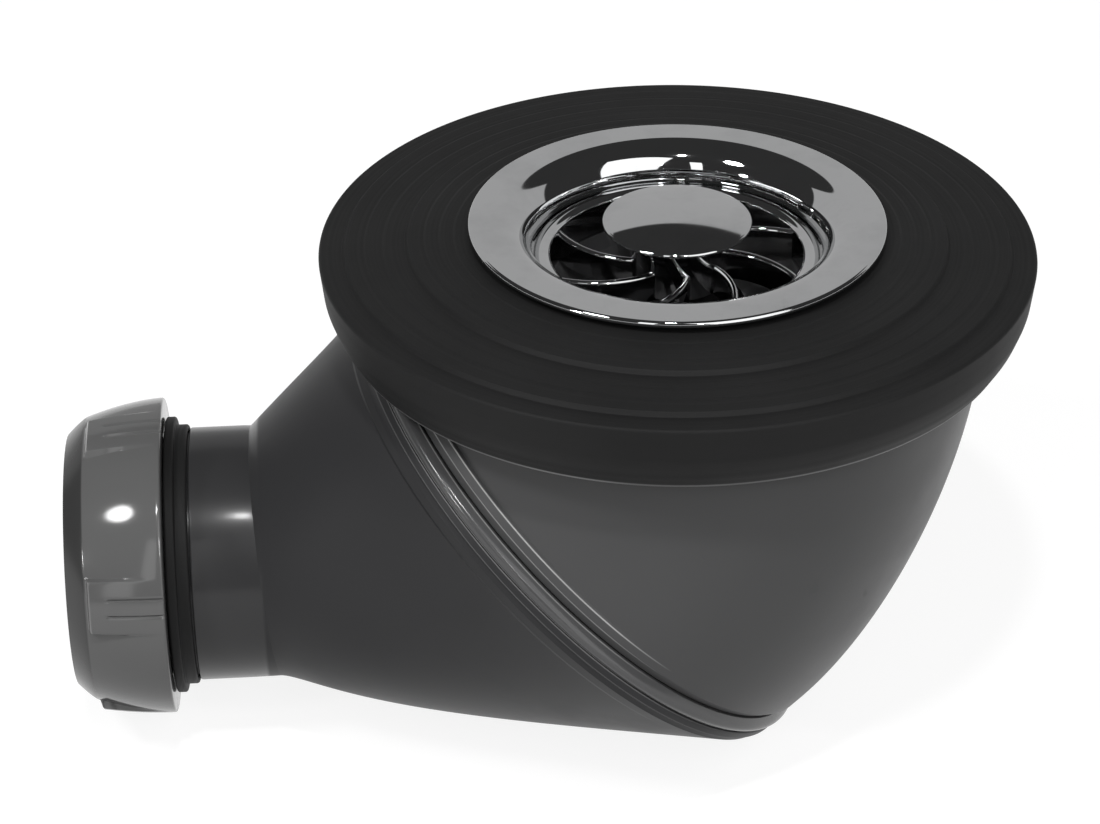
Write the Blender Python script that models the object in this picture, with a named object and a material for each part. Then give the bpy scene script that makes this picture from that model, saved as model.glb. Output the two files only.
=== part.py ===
# Shower trap with a swivelling outlet, modelled in metres with +Z up.
#
# The origin lies on the drain axis at the crown of the tray washer, the plane that the
# underside of a shower tray is pressed against. The outlet points along -X at rest.
# Every round piece is turned about one of three axes: the drain axis (straight down), the
# swivel axis (down and to the left at 45 degrees) and the outlet axis (straight left).
# Distances along an axis are measured from its origin along its heading.

import math
from collections import namedtuple

import bmesh
import bpy
from mathutils import Vector

# Clearances shared by pieces that touch.
seat_gap = 0.0003
cut_overrun = 0.002

# How finely round forms are divided.
body_segments = 36
small_segments = 32
hidden_segments = 24
seal_segments = 6
loft_steps = 7

# Tray washer, a stepped rubber ring that grips the rim of the upper body.
washer_radius = 0.068
washer_edge_overhang = 0.0008
washer_shoulder_drop = 0.0070
washer_side_lean = 0.0034
washer_foot_thickness = 0.0043
washer_foot_round = 0.0010
washer_side_bulge = 0.0004
washer_depth = 0.0144
washer_fall = 0.0026
washer_plate_depth = 0.0065
washer_riser_fall = 0.0009
washer_riser_run = 0.0006
washer_inner_rib_shares = (0.618, 0.657, 0.700)
washer_inner_riser_share = 0.750
washer_outer_rib_shares = (0.813, 0.866)
washer_outer_riser_share = 0.925
washer_rib_run = 0.0005
washer_edge_round = 0.0007

# Waste flange of chromed brass.
flange_bore_radius = 0.0258
flange_seat_width = 0.0017
flange_lip_round = 0.0065
flange_rim_width = 0.0056
flange_edge = 0.0013
flange_edge_round = 0.0005
flange_skirt_wall = 0.0039
flange_ledge_thickness = 0.0032
lip_steps = 5

# Gasket between the waste flange and the tray.
gasket_rim_inset = 0.0026
gasket_thickness = 0.0006

# Strainer: seat ring, basket wall, whirl vanes and hub.
strainer_ring_thickness = 0.0012
strainer_basket_depth = 0.0069
strainer_wall = 0.0013
strainer_vanes = 8
vane_thickness = 0.0014
vane_top_drop = 0.0011
vane_sweep = math.radians(-44)
vane_phase = math.radians(16)
vane_steps = 4
hub_radius = 0.0070
hub_rise = 0.0050
hub_bore_depth = 0.0070

# Cap of the strainer, a low dome on a stem.
cap_radius = 0.0142
cap_edge = 0.0010
cap_crown = 0.0016
cap_shell = 0.0012
cap_stem_radius = 0.0026
cap_steps = 5

# Lift-out insert: dip tube with its seal, and the cup that holds the water.
dip_rim_height = 0.0045
dip_rim_clearance = 0.0005
dip_tube_wall = 0.0016
dip_tube_floor_gap = 0.0080
dip_seal_radius = 0.0009
cup_bore_gap = 0.0032
cup_wall = 0.0017
cup_water_width = 0.0059
cup_ring_thickness = 0.0015
cup_depth_share = 0.375
cup_floor_round = 0.0050
cup_window_drop = 0.0057
cup_window_height = 0.0078
cup_window_width = 0.0240
cup_ledge_clearance = 0.0010

# Upper body, a shell from the round deck to the 45 degree joint.
deck_overhang = 0.0038
deck_thickness = 0.0040
deck_edge_round = 0.0010
neck_wall = 0.0030
neck_overrun = 0.0010
body_wall = 0.0028
body_straight_run = 0.0016
body_upper_bulge = 0.0309
body_lower_bulge = 0.0295

# Rim of the upper body at the joint: it stands proud of the shell on its near side and
# merges with it on its far side.
rim_rise = 0.0005
rim_near_inset = 0.00574
rim_near_fall = 0.00155
rim_depth = 0.0030
rim_step_run = 0.0006
rim_chamfer = 0.0006
rim_height = 0.0022
rim_fade_share = 0.6

# Swivel joint at 45 degrees.
swivel_angle = math.radians(45)
joint_radius = 0.0565
spigot_flange_rise = 0.0023
spigot_flange_start = 0.0022
spigot_flange_thickness = 0.0020
spigot_step = 0.0010
spigot_wall = 0.0043
spigot_tip_run = 0.0010
swivel_seal_radius = 0.0011
swivel_seal_set = 0.0027

# Retaining ring of the swivel joint, with its rounded bead.
ring_bead_rise = 0.0021
ring_waist_rise = 0.0014
ring_tail_rise = 0.0017
ring_waist_at = 0.0033
ring_tail_run = 0.0012
ring_wall = 0.0019
ring_bead_steps = 5

# Lower body, a shell from the swivel joint to the outlet spigot.
tongue_wall = 0.0015
collar_rise = 0.0020
collar_thickness = 0.0015
collar_step = 0.0003
shell_start_rise = 0.0011
socket_tip_gap = 0.0004
outlet_drop = 0.0686
outlet_radius = 0.0250
outlet_lean = math.radians(5.4)
outlet_reach = 0.02754
lower_shell_bulge = 0.0763
lower_heel_bulge = 0.0071
lower_shell_fall = math.radians(2.6)
lower_wall = 0.0028
pipe_length = 0.0140
thread_step = 0.0010
thread_length = 0.0173
thread_wall = 0.0021
pipe_stop_width = 0.0017
pipe_stop_set = 0.0070
mouth_chamfer = 0.0015

# Black ring behind the nut.
backing_tall_rise = 0.0033
backing_tall_width = 0.0019
backing_low_rise = 0.0017
backing_low_width = 0.0024

# Outlet nut, domed, with five grip lugs.
nut_wall = 0.0069
nut_back_round = 0.0008
nut_dome_fall = 0.0029
nut_nose_fall = 0.0025
nut_station_shares = (0.35, 0.78)
nut_lugs = 5
lug_width = 0.0107
lug_fall = 0.0022
lug_end_share = 0.905
lug_wall_run = 0.0006
lug_first_angle = math.radians(-105)
groove_pitch = 0.0034
groove_width = 0.0006
groove_depth = 0.0005
groove_end_share = 0.61
nut_throat_step = 0.0019
nut_lip_thickness = 0.0035

# Seal and slip ring inside the nut.
slip_ring_thickness = 0.0008
pipe_seal_flange = 0.0014
pipe_seal_squeeze = 0.0002
pipe_seal_reach = 0.0009

Axis = namedtuple("Axis", "origin heading side")
Ring = namedtuple("Ring", "centre side radius inset", defaults=(0,))
across = Vector((0, 1, 0))


def make_axis(x, z, angle):
    """An axis in the middle plane; the angle runs from straight down towards -X."""
    heading = Vector((-math.sin(angle), 0, -math.cos(angle)))
    side = Vector((math.cos(angle), 0, -math.sin(angle)))
    return Axis(Vector((x, 0, z)), heading, side)


# Washer and body, worked out from the washer's radius inwards.
washer_shoulder_radius = washer_radius - washer_edge_overhang
washer_foot_radius = washer_shoulder_radius - washer_side_lean
washer_end = washer_fall + washer_depth
body_radius = washer_foot_radius - washer_foot_thickness - seat_gap
deck_radius = body_radius + deck_overhang
deck_top = washer_plate_depth + seat_gap
deck_end = deck_top + deck_thickness
body_straight_end = deck_end + body_straight_run

# Joint, worked out from its radius and from where its rim meets the body's near side.
rim_radius = joint_radius + rim_rise
rim_start = rim_depth + rim_step_run
rim_near_across = body_radius - rim_near_inset
rim_near_drop = body_straight_end + rim_near_fall
swivel_across = (
    rim_near_across + rim_start * math.sin(swivel_angle) - rim_radius * math.cos(swivel_angle)
)
swivel_drop = (
    rim_near_drop + rim_start * math.cos(swivel_angle) + rim_radius * math.sin(swivel_angle)
)
ring_bead_radius = joint_radius + ring_bead_rise
ring_waist_radius = joint_radius + ring_waist_rise
ring_tail_radius = joint_radius + ring_tail_rise
ring_end = ring_waist_at + ring_tail_run
barrel_radius = ring_tail_radius - ring_wall
tongue_outer_radius = barrel_radius - seat_gap
tongue_inner_radius = tongue_outer_radius - tongue_wall
spigot_flange_radius = tongue_inner_radius - seat_gap
spigot_flange_end = spigot_flange_start + spigot_flange_thickness
neck_groove_radius = spigot_flange_radius - spigot_flange_rise
spigot_radius = neck_groove_radius - spigot_step
spigot_bore_radius = spigot_radius - spigot_wall
swivel_seal_middle = spigot_flange_end + swivel_seal_set
swivel_seal_half = swivel_seal_radius + seat_gap
spigot_end = swivel_seal_middle + swivel_seal_half + spigot_tip_run
socket_radius = spigot_radius + seat_gap
socket_end = spigot_end + socket_tip_gap
collar_radius = joint_radius + collar_rise
collar_start = ring_end + seat_gap
collar_end = collar_start + collar_thickness
shell_start = collar_end + collar_step
shell_start_radius = joint_radius + shell_start_rise

# Outlet, worked out from its radius and its reach beyond the joint.
outlet_mouth_across = rim_near_across + outlet_reach
spigot_shoulder = outlet_mouth_across + pipe_length
thread_end = spigot_shoulder + thread_length
pipe_stop_at = outlet_mouth_across + pipe_stop_set
thread_radius = outlet_radius - thread_step
pipe_bore_radius = thread_radius - thread_wall
pipe_stop_radius = pipe_bore_radius - pipe_stop_width
pipe_seal_radius = pipe_bore_radius - pipe_seal_squeeze
backing_tall_radius = thread_radius + backing_tall_rise
backing_low_radius = thread_radius + backing_low_rise
nut_bore_radius = thread_radius + seat_gap
nut_radius = nut_bore_radius + nut_wall
nut_throat_radius = nut_bore_radius - nut_throat_step
pipe_seal_back = thread_end + seat_gap + pipe_seal_flange
slip_ring_end = pipe_seal_back + seat_gap + slip_ring_thickness
nut_shoulder = slip_ring_end + seat_gap
nut_back = spigot_shoulder + backing_low_width + backing_tall_width + 2 * seat_gap
nut_length = nut_shoulder + nut_lip_thickness - nut_back
lug_end = nut_length * lug_end_share
groove_end = nut_length * groove_end_share

drain = make_axis(0, 0, 0)
swivel = make_axis(-swivel_across, -swivel_drop, swivel_angle)
outlet = make_axis(0, -outlet_drop, math.radians(90))

# Flange, strainer and insert, worked out from the flange's bore and seat.
throat_radius = flange_bore_radius + flange_seat_width
flange_radius = throat_radius + flange_lip_round + flange_rim_width
flange_skirt_radius = flange_bore_radius + flange_skirt_wall
gasket_radius = flange_radius - gasket_rim_inset
neck_radius = flange_skirt_radius + seat_gap
washer_bore_radius = neck_radius + seat_gap
flange_seat = -(seat_gap + gasket_thickness + seat_gap)
flange_top = flange_seat - flange_edge
throat_top = flange_top + flange_lip_round
strainer_top = throat_top
strainer_seat = strainer_top + strainer_ring_thickness + seat_gap
strainer_end = strainer_top + strainer_basket_depth
strainer_radius = throat_radius - seat_gap
basket_radius = flange_bore_radius - dip_rim_clearance
hub_top = strainer_top - hub_rise
cap_under = hub_top - seat_gap
cap_stem_end = hub_top + hub_bore_depth - seat_gap
dip_rim_top = strainer_end + seat_gap
dip_rim_end = dip_rim_top + dip_rim_height
dip_rim_radius = flange_bore_radius - dip_rim_clearance
cup_ring_top = dip_rim_end + seat_gap
cup_ring_end = cup_ring_top + cup_ring_thickness
insert_seat = cup_ring_end + seat_gap
flange_skirt_end = insert_seat + flange_ledge_thickness
neck_end = flange_skirt_end + neck_overrun
cup_radius = flange_bore_radius - cup_bore_gap
cup_inside_radius = cup_radius - cup_wall
cup_end = swivel_drop + joint_radius * cup_depth_share
cup_window_top = cup_ring_end + cup_window_drop
cup_rim_depth = cup_window_top + cup_window_height
ledge_radius = cup_radius + cup_ledge_clearance
dip_tube_radius = cup_inside_radius - cup_water_width
dip_tube_end = cup_end - dip_tube_floor_gap


def clear_scene():
    for obj in list(bpy.data.objects):
        bpy.data.objects.remove(obj)


def make_material(name, colour, roughness, metallic=0.0):
    material = bpy.data.materials.new(name)
    material.use_nodes = True
    shader = material.node_tree.nodes["Principled BSDF"]
    shader.inputs["Base Color"].default_value = (*colour, 1)
    shader.inputs["Roughness"].default_value = roughness
    shader.inputs["Metallic"].default_value = metallic
    material.diffuse_color = (*colour, 1)
    return material


def on_axis(axis, along, radius):
    """A circle square to the axis."""
    return Ring(axis.origin + axis.heading * along, axis.side, radius)


def between(near, far):
    """The circle square to the middle plane whose diameter runs from near to far."""
    return Ring((near + far) / 2, (far - near).normalized(), (far - near).length / 2)


def narrowed(ring, wall):
    return ring._replace(radius=ring.radius - wall)


def shares(count):
    return [step / count for step in range(count + 1)]


def full_turn(segments):
    return [math.tau * step / segments for step in range(segments)]


def ring_loop(ring, segments):
    """Points round a circle, drawn in on its near side by the ring's inset."""
    points = []
    for turn in full_turn(segments):
        nearness = max(-math.cos(turn), 0) ** rim_fade_share
        radius = ring.radius - ring.inset * nearness
        points.append(
            ring.centre + radius * (math.cos(turn) * ring.side + math.sin(turn) * across)
        )
    return points


def bezier(start, start_handle, end_handle, end, share):
    rest = 1 - share
    return (
        start * rest**3
        + start_handle * (3 * share * rest**2)
        + end_handle * (3 * share**2 * rest)
        + end * share**3
    )


def arc(centre_along, centre_radius, size, start, end, steps):
    """Profile points (along, radius) on an arc, its angles taken from the outward radius."""
    points = []
    for share in shares(steps):
        angle = math.radians(start + (end - start) * share)
        along = centre_along - size * math.sin(angle)
        points.append((along, centre_radius + size * math.cos(angle)))
    return points


def finish_object(name, mesh, material, axis):
    """Makes an object of the mesh, shaded smooth, with its origin on its axis."""
    mesh.shade_smooth()
    mesh.set_sharp_from_angle(angle=math.radians(35))
    mesh.materials.append(material)
    obj = bpy.data.objects.new(name, mesh)
    bpy.context.scene.collection.objects.link(obj)
    for vertex in mesh.vertices:
        vertex.co -= axis.origin
    obj.location = axis.origin
    return obj


def mesh_from_loops(name, loops, closed):
    """Joins each loop of points to the next; closed joins the last to the first too."""
    shape = bmesh.new()
    rows = [[shape.verts.new(point) for point in loop] for loop in loops]
    pairs = list(zip(rows, rows[1:]))
    if closed:
        pairs.append((rows[-1], rows[0]))
    else:
        shape.faces.new(rows[0])
        shape.faces.new(rows[-1])
    for row, next_row in pairs:
        for place in range(len(row)):
            follower = (place + 1) % len(row)
            shape.faces.new((row[place], row[follower], next_row[follower], next_row[place]))
    bmesh.ops.recalc_face_normals(shape, faces=shape.faces)
    mesh = bpy.data.meshes.new(name)
    shape.to_mesh(mesh)
    shape.free()
    return mesh


def skin(name, rings, segments, material, axis):
    """A hollow piece: a closed chain of circles, outside and inside."""
    loops = [ring_loop(ring, segments) for ring in rings]
    return finish_object(name, mesh_from_loops(name, loops, True), material, axis)


def turned(name, axis, profile, segments, material):
    """A hollow piece turned about an axis from a closed profile of (along, radius)."""
    rings = [on_axis(axis, along, radius) for along, radius in profile]
    return skin(name, rings, segments, material, axis)


def capped(name, axis, profile, segments, material):
    """A solid piece turned about an axis from an open profile, with a flat at each end."""
    loops = [ring_loop(on_axis(axis, along, radius), segments) for along, radius in profile]
    return finish_object(name, mesh_from_loops(name, loops, False), material, axis)


def o_ring(name, axis, middle_along, middle_radius, size, segments, material):
    profile = arc(middle_along, middle_radius, size, 0, 360, seal_segments)[:-1]
    return turned(name, axis, profile, segments, material)


def combine(target, helper, operation):
    """Cuts or joins a helper shape, which stays in the file as a hidden guide."""
    helper.hide_render = True
    helper.display_type = "WIRE"
    modifier = target.modifiers.new(helper.name, "BOOLEAN")
    modifier.object = helper
    modifier.operation = operation
    modifier.solver = "EXACT"


def build_waste_flange(chrome):
    lip_centre_radius = throat_radius + flange_lip_round
    rim = arc(
        flange_top + flange_edge_round,
        flange_radius - flange_edge_round,
        flange_edge_round,
        0,
        90,
        2,
    )
    lip = arc(throat_top, lip_centre_radius, flange_lip_round, 90, 180, lip_steps)
    profile = [
        (flange_seat, flange_skirt_radius),
        (flange_seat, flange_radius - flange_edge_round),
        *rim,
        *lip,
        (strainer_seat, throat_radius),
        (strainer_seat, flange_bore_radius),
        (insert_seat, flange_bore_radius),
        (insert_seat, ledge_radius),
        (flange_skirt_end, ledge_radius),
        (flange_skirt_end, flange_skirt_radius),
    ]
    return turned("waste_flange", drain, profile, body_segments, chrome)


def build_flange_gasket(rubber):
    top = flange_seat + seat_gap
    bottom = top + gasket_thickness
    profile = [
        (top, washer_bore_radius),
        (top, gasket_radius),
        (bottom, gasket_radius),
        (bottom, washer_bore_radius),
    ]
    return turned("flange_gasket", drain, profile, hidden_segments, rubber)


def build_tray_washer(rubber):
    """The stepped top falls from the crown to the outer edge; the foot grips the deck."""
    rib_count = len(washer_inner_rib_shares) + len(washer_outer_rib_shares)
    rib_fall = (washer_fall - 2 * washer_riser_fall) / rib_count
    steps = [(share, washer_rib_run, rib_fall) for share in washer_inner_rib_shares]
    steps.append((washer_inner_riser_share, washer_riser_run, washer_riser_fall))
    steps += [(share, washer_rib_run, rib_fall) for share in washer_outer_rib_shares]
    steps.append((washer_outer_riser_share, washer_riser_run, washer_riser_fall))
    profile = [(0, washer_bore_radius)]
    level = 0
    for share, run, fall in steps:
        profile.append((level, washer_radius * share))
        level += fall
        profile.append((level, washer_radius * share + run))
    edge_centre = washer_radius - washer_edge_round
    shoulder = washer_fall + washer_shoulder_drop
    middle_radius = (washer_shoulder_radius + washer_foot_radius) / 2
    lip_radius = body_radius + seat_gap
    profile += arc(washer_fall + washer_edge_round, edge_centre, washer_edge_round, 90, 0, 2)
    profile += [
        (shoulder, washer_shoulder_radius),
        ((shoulder + washer_end) / 2, middle_radius + washer_side_bulge),
        (washer_end - washer_foot_round, washer_foot_radius + washer_foot_round / 2),
        (washer_end, washer_foot_radius - washer_foot_round / 2),
        (washer_end, lip_radius),
        (deck_end + seat_gap, lip_radius),
        (deck_end + seat_gap, deck_radius + seat_gap),
        (washer_plate_depth, deck_radius + seat_gap),
        (washer_plate_depth, washer_bore_radius),
    ]
    return turned("tray_washer", drain, profile, body_segments, rubber)


def vane_outline(share, half_width):
    """A point of a vane's side in plan, on a swept line from the hub to the wall."""
    start = hub_radius / 2
    end = basket_radius - strainer_wall / 2
    radius = start + (end - start) * share
    slope = vane_sweep / (end - start)
    angle = vane_phase + slope * (radius - start)
    lean = math.atan(slope * radius)
    shift = half_width / math.cos(lean)
    return radius * math.cos(angle) - shift * math.sin(angle), (
        radius * math.sin(angle) + shift * math.cos(angle)
    )


def build_vanes(material):
    """All the vanes in one guide mesh: each is a curved blade with a level top."""
    shape = bmesh.new()
    top = -(strainer_top + vane_top_drop)
    bottom = -strainer_end
    for vane in range(strainer_vanes):
        turn = math.tau * vane / strainer_vanes
        outline = [vane_outline(share, vane_thickness / 2) for share in shares(vane_steps)]
        outline += [
            vane_outline(share, -vane_thickness / 2) for share in reversed(shares(vane_steps))
        ]
        rows = []
        for height in (bottom, top):
            rows.append(
                [
                    shape.verts.new(
                        (
                            x * math.cos(turn) - y * math.sin(turn),
                            x * math.sin(turn) + y * math.cos(turn),
                            height,
                        )
                    )
                    for x, y in outline
                ]
            )
        shape.faces.new(rows[0])
        shape.faces.new(rows[1])
        for place in range(len(outline)):
            follower = (place + 1) % len(outline)
            shape.faces.new(
                (rows[0][place], rows[0][follower], rows[1][follower], rows[1][place])
            )
    bmesh.ops.recalc_face_normals(shape, faces=shape.faces)
    mesh = bpy.data.meshes.new("vane_guide")
    shape.to_mesh(mesh)
    shape.free()
    return finish_object("vane_guide", mesh, material, drain)


def build_strainer_frame(chrome):
    inner_radius = basket_radius - strainer_wall
    crest = strainer_ring_thickness / 2
    profile = [
        (strainer_top + crest, strainer_radius),
        (strainer_top, strainer_radius - crest),
        (strainer_top, inner_radius + crest),
        (strainer_top + crest, inner_radius),
        (strainer_end, inner_radius),
        (strainer_end, basket_radius),
        (strainer_top + strainer_ring_thickness, basket_radius),
        (strainer_top + strainer_ring_thickness, strainer_radius),
    ]
    frame = turned("strainer_frame", drain, profile, body_segments, chrome)
    hub_profile = [(hub_top, hub_radius), (strainer_end, hub_radius)]
    hub = capped("hub_guide", drain, hub_profile, small_segments, chrome)
    bore_end = hub_top + hub_bore_depth
    bore_radius = cap_stem_radius + seat_gap
    bore_profile = [(hub_top - cut_overrun, bore_radius), (bore_end, bore_radius)]
    bore = capped("hub_bore_guide", drain, bore_profile, small_segments, chrome)
    combine(frame, build_vanes(chrome), "UNION")
    combine(frame, hub, "UNION")
    combine(frame, bore, "DIFFERENCE")
    return frame


def build_strainer_cap(chrome):
    """A low dome with a rounded edge, hollow below, on a stem that fits the hub."""
    edge_round = cap_edge / 2
    edge_middle = cap_under - edge_round
    dome_base = edge_middle - edge_round
    dome = []
    for share in shares(cap_steps)[1:-1]:
        radius = (cap_radius - edge_round) * (1 - share)
        rise = cap_crown * (1 - (1 - share) ** 2)
        dome.append((dome_base - rise, radius))
    edge = arc(edge_middle, cap_radius - edge_round, edge_round, -90, 90, 4)
    hollow_radius = cap_radius - cap_edge - cap_shell
    profile = [
        (cap_stem_end, cap_stem_radius),
        (cap_under - cap_crown / 2, cap_stem_radius),
        (cap_under - cap_crown / 2, hub_radius),
        (cap_under, hollow_radius),
        *edge,
        *dome,
    ]
    return capped("strainer_cap", drain, profile, small_segments, chrome)


def build_dip_tube(plastic):
    """The rim seals in the flange's bore; a funnel leads into the tube."""
    seal_groove = dip_seal_radius + seat_gap
    middle = dip_rim_top + dip_rim_height / 2
    groove_radius = flange_bore_radius - 2 * seat_gap - 2 * dip_seal_radius
    bore = dip_tube_radius - dip_tube_wall
    funnel_end = dip_rim_end + dip_tube_wall
    profile = [
        (dip_rim_top, dip_rim_radius - strainer_wall),
        (dip_rim_top, dip_rim_radius),
        (middle - seal_groove, dip_rim_radius),
        (middle - seal_groove, groove_radius),
        (middle + seal_groove, groove_radius),
        (middle + seal_groove, dip_rim_radius),
        (dip_rim_end, dip_rim_radius),
        (dip_rim_end, cup_inside_radius - seat_gap),
        (funnel_end, dip_tube_radius),
        (dip_tube_end, dip_tube_radius),
        (dip_tube_end, bore),
        (dip_rim_end, bore),
        (middle, groove_radius - dip_tube_wall),
    ]
    return turned("dip_tube", drain, profile, hidden_segments, plastic)


def build_dip_tube_seal(rubber):
    middle = dip_rim_top + dip_rim_height / 2
    radius = flange_bore_radius - seat_gap - dip_seal_radius
    return o_ring("dip_tube_seal", drain, middle, radius, dip_seal_radius, hidden_segments, rubber)


def build_inner_cup(plastic):
    """A cup that hangs from a ring on four struts, so that the water spills over its rim."""
    inside = cup_inside_radius
    floor = cup_end - cup_wall
    outer_floor = arc(
        cup_end - cup_floor_round, cup_radius - cup_floor_round, cup_floor_round, 0, -90, 3
    )
    inner_round = cup_floor_round - cup_wall
    inner_floor = arc(floor - inner_round, inside - inner_round, inner_round, -90, 0, 3)
    centre_radius = cup_wall
    profile = [
        (floor, centre_radius),
        *inner_floor,
        (cup_ring_top, inside),
        (cup_ring_top, dip_rim_radius),
        (cup_ring_end, dip_rim_radius),
        (cup_ring_end, cup_radius),
        *outer_floor,
        (cup_end, centre_radius),
    ]
    cup = capped("inner_cup", drain, profile, hidden_segments, plastic)
    for number, (x_half, y_half) in enumerate(((1, 0), (0, 1))):
        window = bmesh.new()
        bmesh.ops.create_cube(window, size=1)
        reach = 2 * (cup_radius + cut_overrun)
        size = Vector(
            (
                reach if x_half else cup_window_width,
                reach if y_half else cup_window_width,
                cup_rim_depth - cup_window_top,
            )
        )
        bmesh.ops.scale(window, vec=size, verts=window.verts)
        middle = Vector((0, 0, -(cup_rim_depth + cup_window_top) / 2))
        bmesh.ops.translate(window, vec=middle, verts=window.verts)
        mesh = bpy.data.meshes.new("cup_window_guide")
        window.to_mesh(mesh)
        window.free()
        guide = finish_object(f"cup_window_guide_{number}", mesh, plastic, drain)
        combine(cup, guide, "DIFFERENCE")
    return cup


def upper_sections():
    """The circles that swing from the round body down to the rim at the 45 degree joint."""
    joint = on_axis(swivel, -rim_start, rim_radius)
    start = on_axis(drain, body_straight_end, body_radius)
    near_start = start.centre - start.side * start.radius
    near_end = joint.centre - joint.side * joint.radius
    far_start = start.centre + start.side * start.radius
    far_end = joint.centre + joint.side * joint.radius
    start_handle = far_start + drain.heading * body_upper_bulge
    end_handle = far_end - swivel.heading * body_lower_bulge
    return [
        between(
            near_start.lerp(near_end, share),
            bezier(far_start, start_handle, end_handle, far_end, share),
        )._replace(inset=rim_height * share)
        for share in shares(loft_steps)
    ]


def build_upper_body(plastic):
    """Deck with a threaded neck, swung shell, and the spigot of the swivel joint."""
    sections = upper_sections()
    groove_floor = spigot_radius - 2 * swivel_seal_radius - seat_gap
    deck_edge = [
        (deck_top, deck_radius - deck_edge_round),
        (deck_top + deck_edge_round, deck_radius),
        (deck_end - deck_edge_round, deck_radius),
        (deck_end, deck_radius - deck_edge_round),
    ]
    top = [
        (neck_end, neck_radius),
        (deck_top, neck_radius),
        *deck_edge,
        (deck_end, body_radius),
    ]
    joint = [
        (-rim_depth, rim_radius),
        (-rim_chamfer, rim_radius),
        (0, rim_radius - rim_chamfer),
        (0, neck_groove_radius),
        (spigot_flange_start, neck_groove_radius),
        (spigot_flange_start, spigot_flange_radius),
        (spigot_flange_end, spigot_flange_radius),
        (spigot_flange_end, spigot_radius),
        (swivel_seal_middle - swivel_seal_half, spigot_radius),
        (swivel_seal_middle - swivel_seal_half, groove_floor),
        (swivel_seal_middle + swivel_seal_half, groove_floor),
        (swivel_seal_middle + swivel_seal_half, spigot_radius),
        (spigot_end, spigot_radius),
        (spigot_end, spigot_bore_radius),
        (0, spigot_bore_radius),
    ]
    inside = [narrowed(ring, body_wall) for ring in reversed(sections[:-1])]
    neck = [
        (deck_end, body_radius - body_wall),
        (deck_end, neck_radius + neck_wall),
        (neck_end, neck_radius + neck_wall),
    ]
    rings = [on_axis(drain, *point) for point in top]
    rings += sections
    rings += [on_axis(swivel, *point) for point in joint]
    rings += inside
    rings += [on_axis(drain, *point) for point in neck]
    return skin("upper_body", rings, body_segments, plastic, drain)


def build_swivel_seal(rubber):
    radius = spigot_radius - swivel_seal_radius
    return o_ring(
        "swivel_seal", swivel, swivel_seal_middle, radius, swivel_seal_radius,
        body_segments, rubber,
    )


def build_swivel_ring(plastic):
    """A rounded bead outside; a lip inside that holds the flange of the upper spigot."""
    lip_end = spigot_flange_start - seat_gap
    bead = []
    for share in shares(ring_bead_steps):
        along = seat_gap + (ring_waist_at - seat_gap) * share
        ends = joint_radius + (ring_waist_radius - joint_radius) * share
        swell = (ring_bead_radius - (joint_radius + ring_waist_radius) / 2)
        bead.append((along, ends + swell * math.sin(math.pi * share)))
    profile = [
        (seat_gap, neck_groove_radius + seat_gap),
        *bead,
        (ring_waist_at + seat_gap, ring_tail_radius),
        (ring_end, ring_tail_radius),
        (ring_end, barrel_radius),
        (lip_end, barrel_radius),
        (lip_end, neck_groove_radius + seat_gap),
    ]
    return turned("swivel_ring", swivel, profile, body_segments, plastic)


def lower_sections():
    """The circles that swing from the swivel joint round to the outlet spigot."""
    start = on_axis(swivel, shell_start, shell_start_radius)
    lean = make_axis(-outlet_mouth_across, -outlet_drop, math.radians(90) - outlet_lean)
    end = on_axis(lean, 0, outlet_radius)
    near_start = start.centre - start.side * start.radius
    near_end = end.centre - end.side * end.radius
    far_start = start.centre + start.side * start.radius
    far_end = end.centre + end.side * end.radius
    fall = Vector((-math.cos(lower_shell_fall), 0, -math.sin(lower_shell_fall)))
    start_handle = far_start + fall * lower_shell_bulge
    end_handle = far_end - outlet.heading * lower_heel_bulge
    return [
        between(
            near_start.lerp(near_end, share),
            bezier(far_start, start_handle, end_handle, far_end, share),
        )
        for share in shares(loft_steps)
    ]


def build_lower_body(plastic):
    """Collar and socket of the swivel joint, swung shell, and the outlet spigot."""
    sections = lower_sections()
    joint = [
        (spigot_flange_start, tongue_inner_radius),
        (spigot_flange_start, tongue_outer_radius),
        (collar_start, tongue_outer_radius),
        (collar_start, collar_radius),
        (collar_end, collar_radius),
    ]
    spigot = [
        (spigot_shoulder, outlet_radius),
        (spigot_shoulder, thread_radius),
        (thread_end, thread_radius),
        (thread_end, pipe_bore_radius + mouth_chamfer),
        (thread_end - mouth_chamfer, pipe_bore_radius),
        (pipe_stop_at, pipe_bore_radius),
        (pipe_stop_at, pipe_stop_radius),
    ]
    inside = [narrowed(ring, lower_wall) for ring in reversed(sections[1:-1])]
    socket = [
        (socket_end, socket_radius),
        (spigot_flange_end + seat_gap, socket_radius),
        (spigot_flange_end + seat_gap, tongue_inner_radius),
    ]
    rings = [on_axis(swivel, *point) for point in joint]
    rings += sections
    rings += [on_axis(outlet, *point) for point in spigot]
    rings.append(Ring(sections[-1].centre, sections[-1].side, pipe_stop_radius))
    rings += inside
    rings += [on_axis(swivel, *point) for point in socket]
    return skin("lower_body", rings, body_segments, plastic, swivel)


def build_nut_backing_ring(rubber):
    start = spigot_shoulder + seat_gap
    step = start + backing_low_width
    end = step + backing_tall_width
    profile = [
        (start, nut_bore_radius),
        (start, backing_low_radius),
        (step, backing_low_radius),
        (step, backing_tall_radius),
        (end, backing_tall_radius),
        (end, nut_bore_radius),
    ]
    return turned("nut_backing_ring", outlet, profile, small_segments, rubber)


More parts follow.
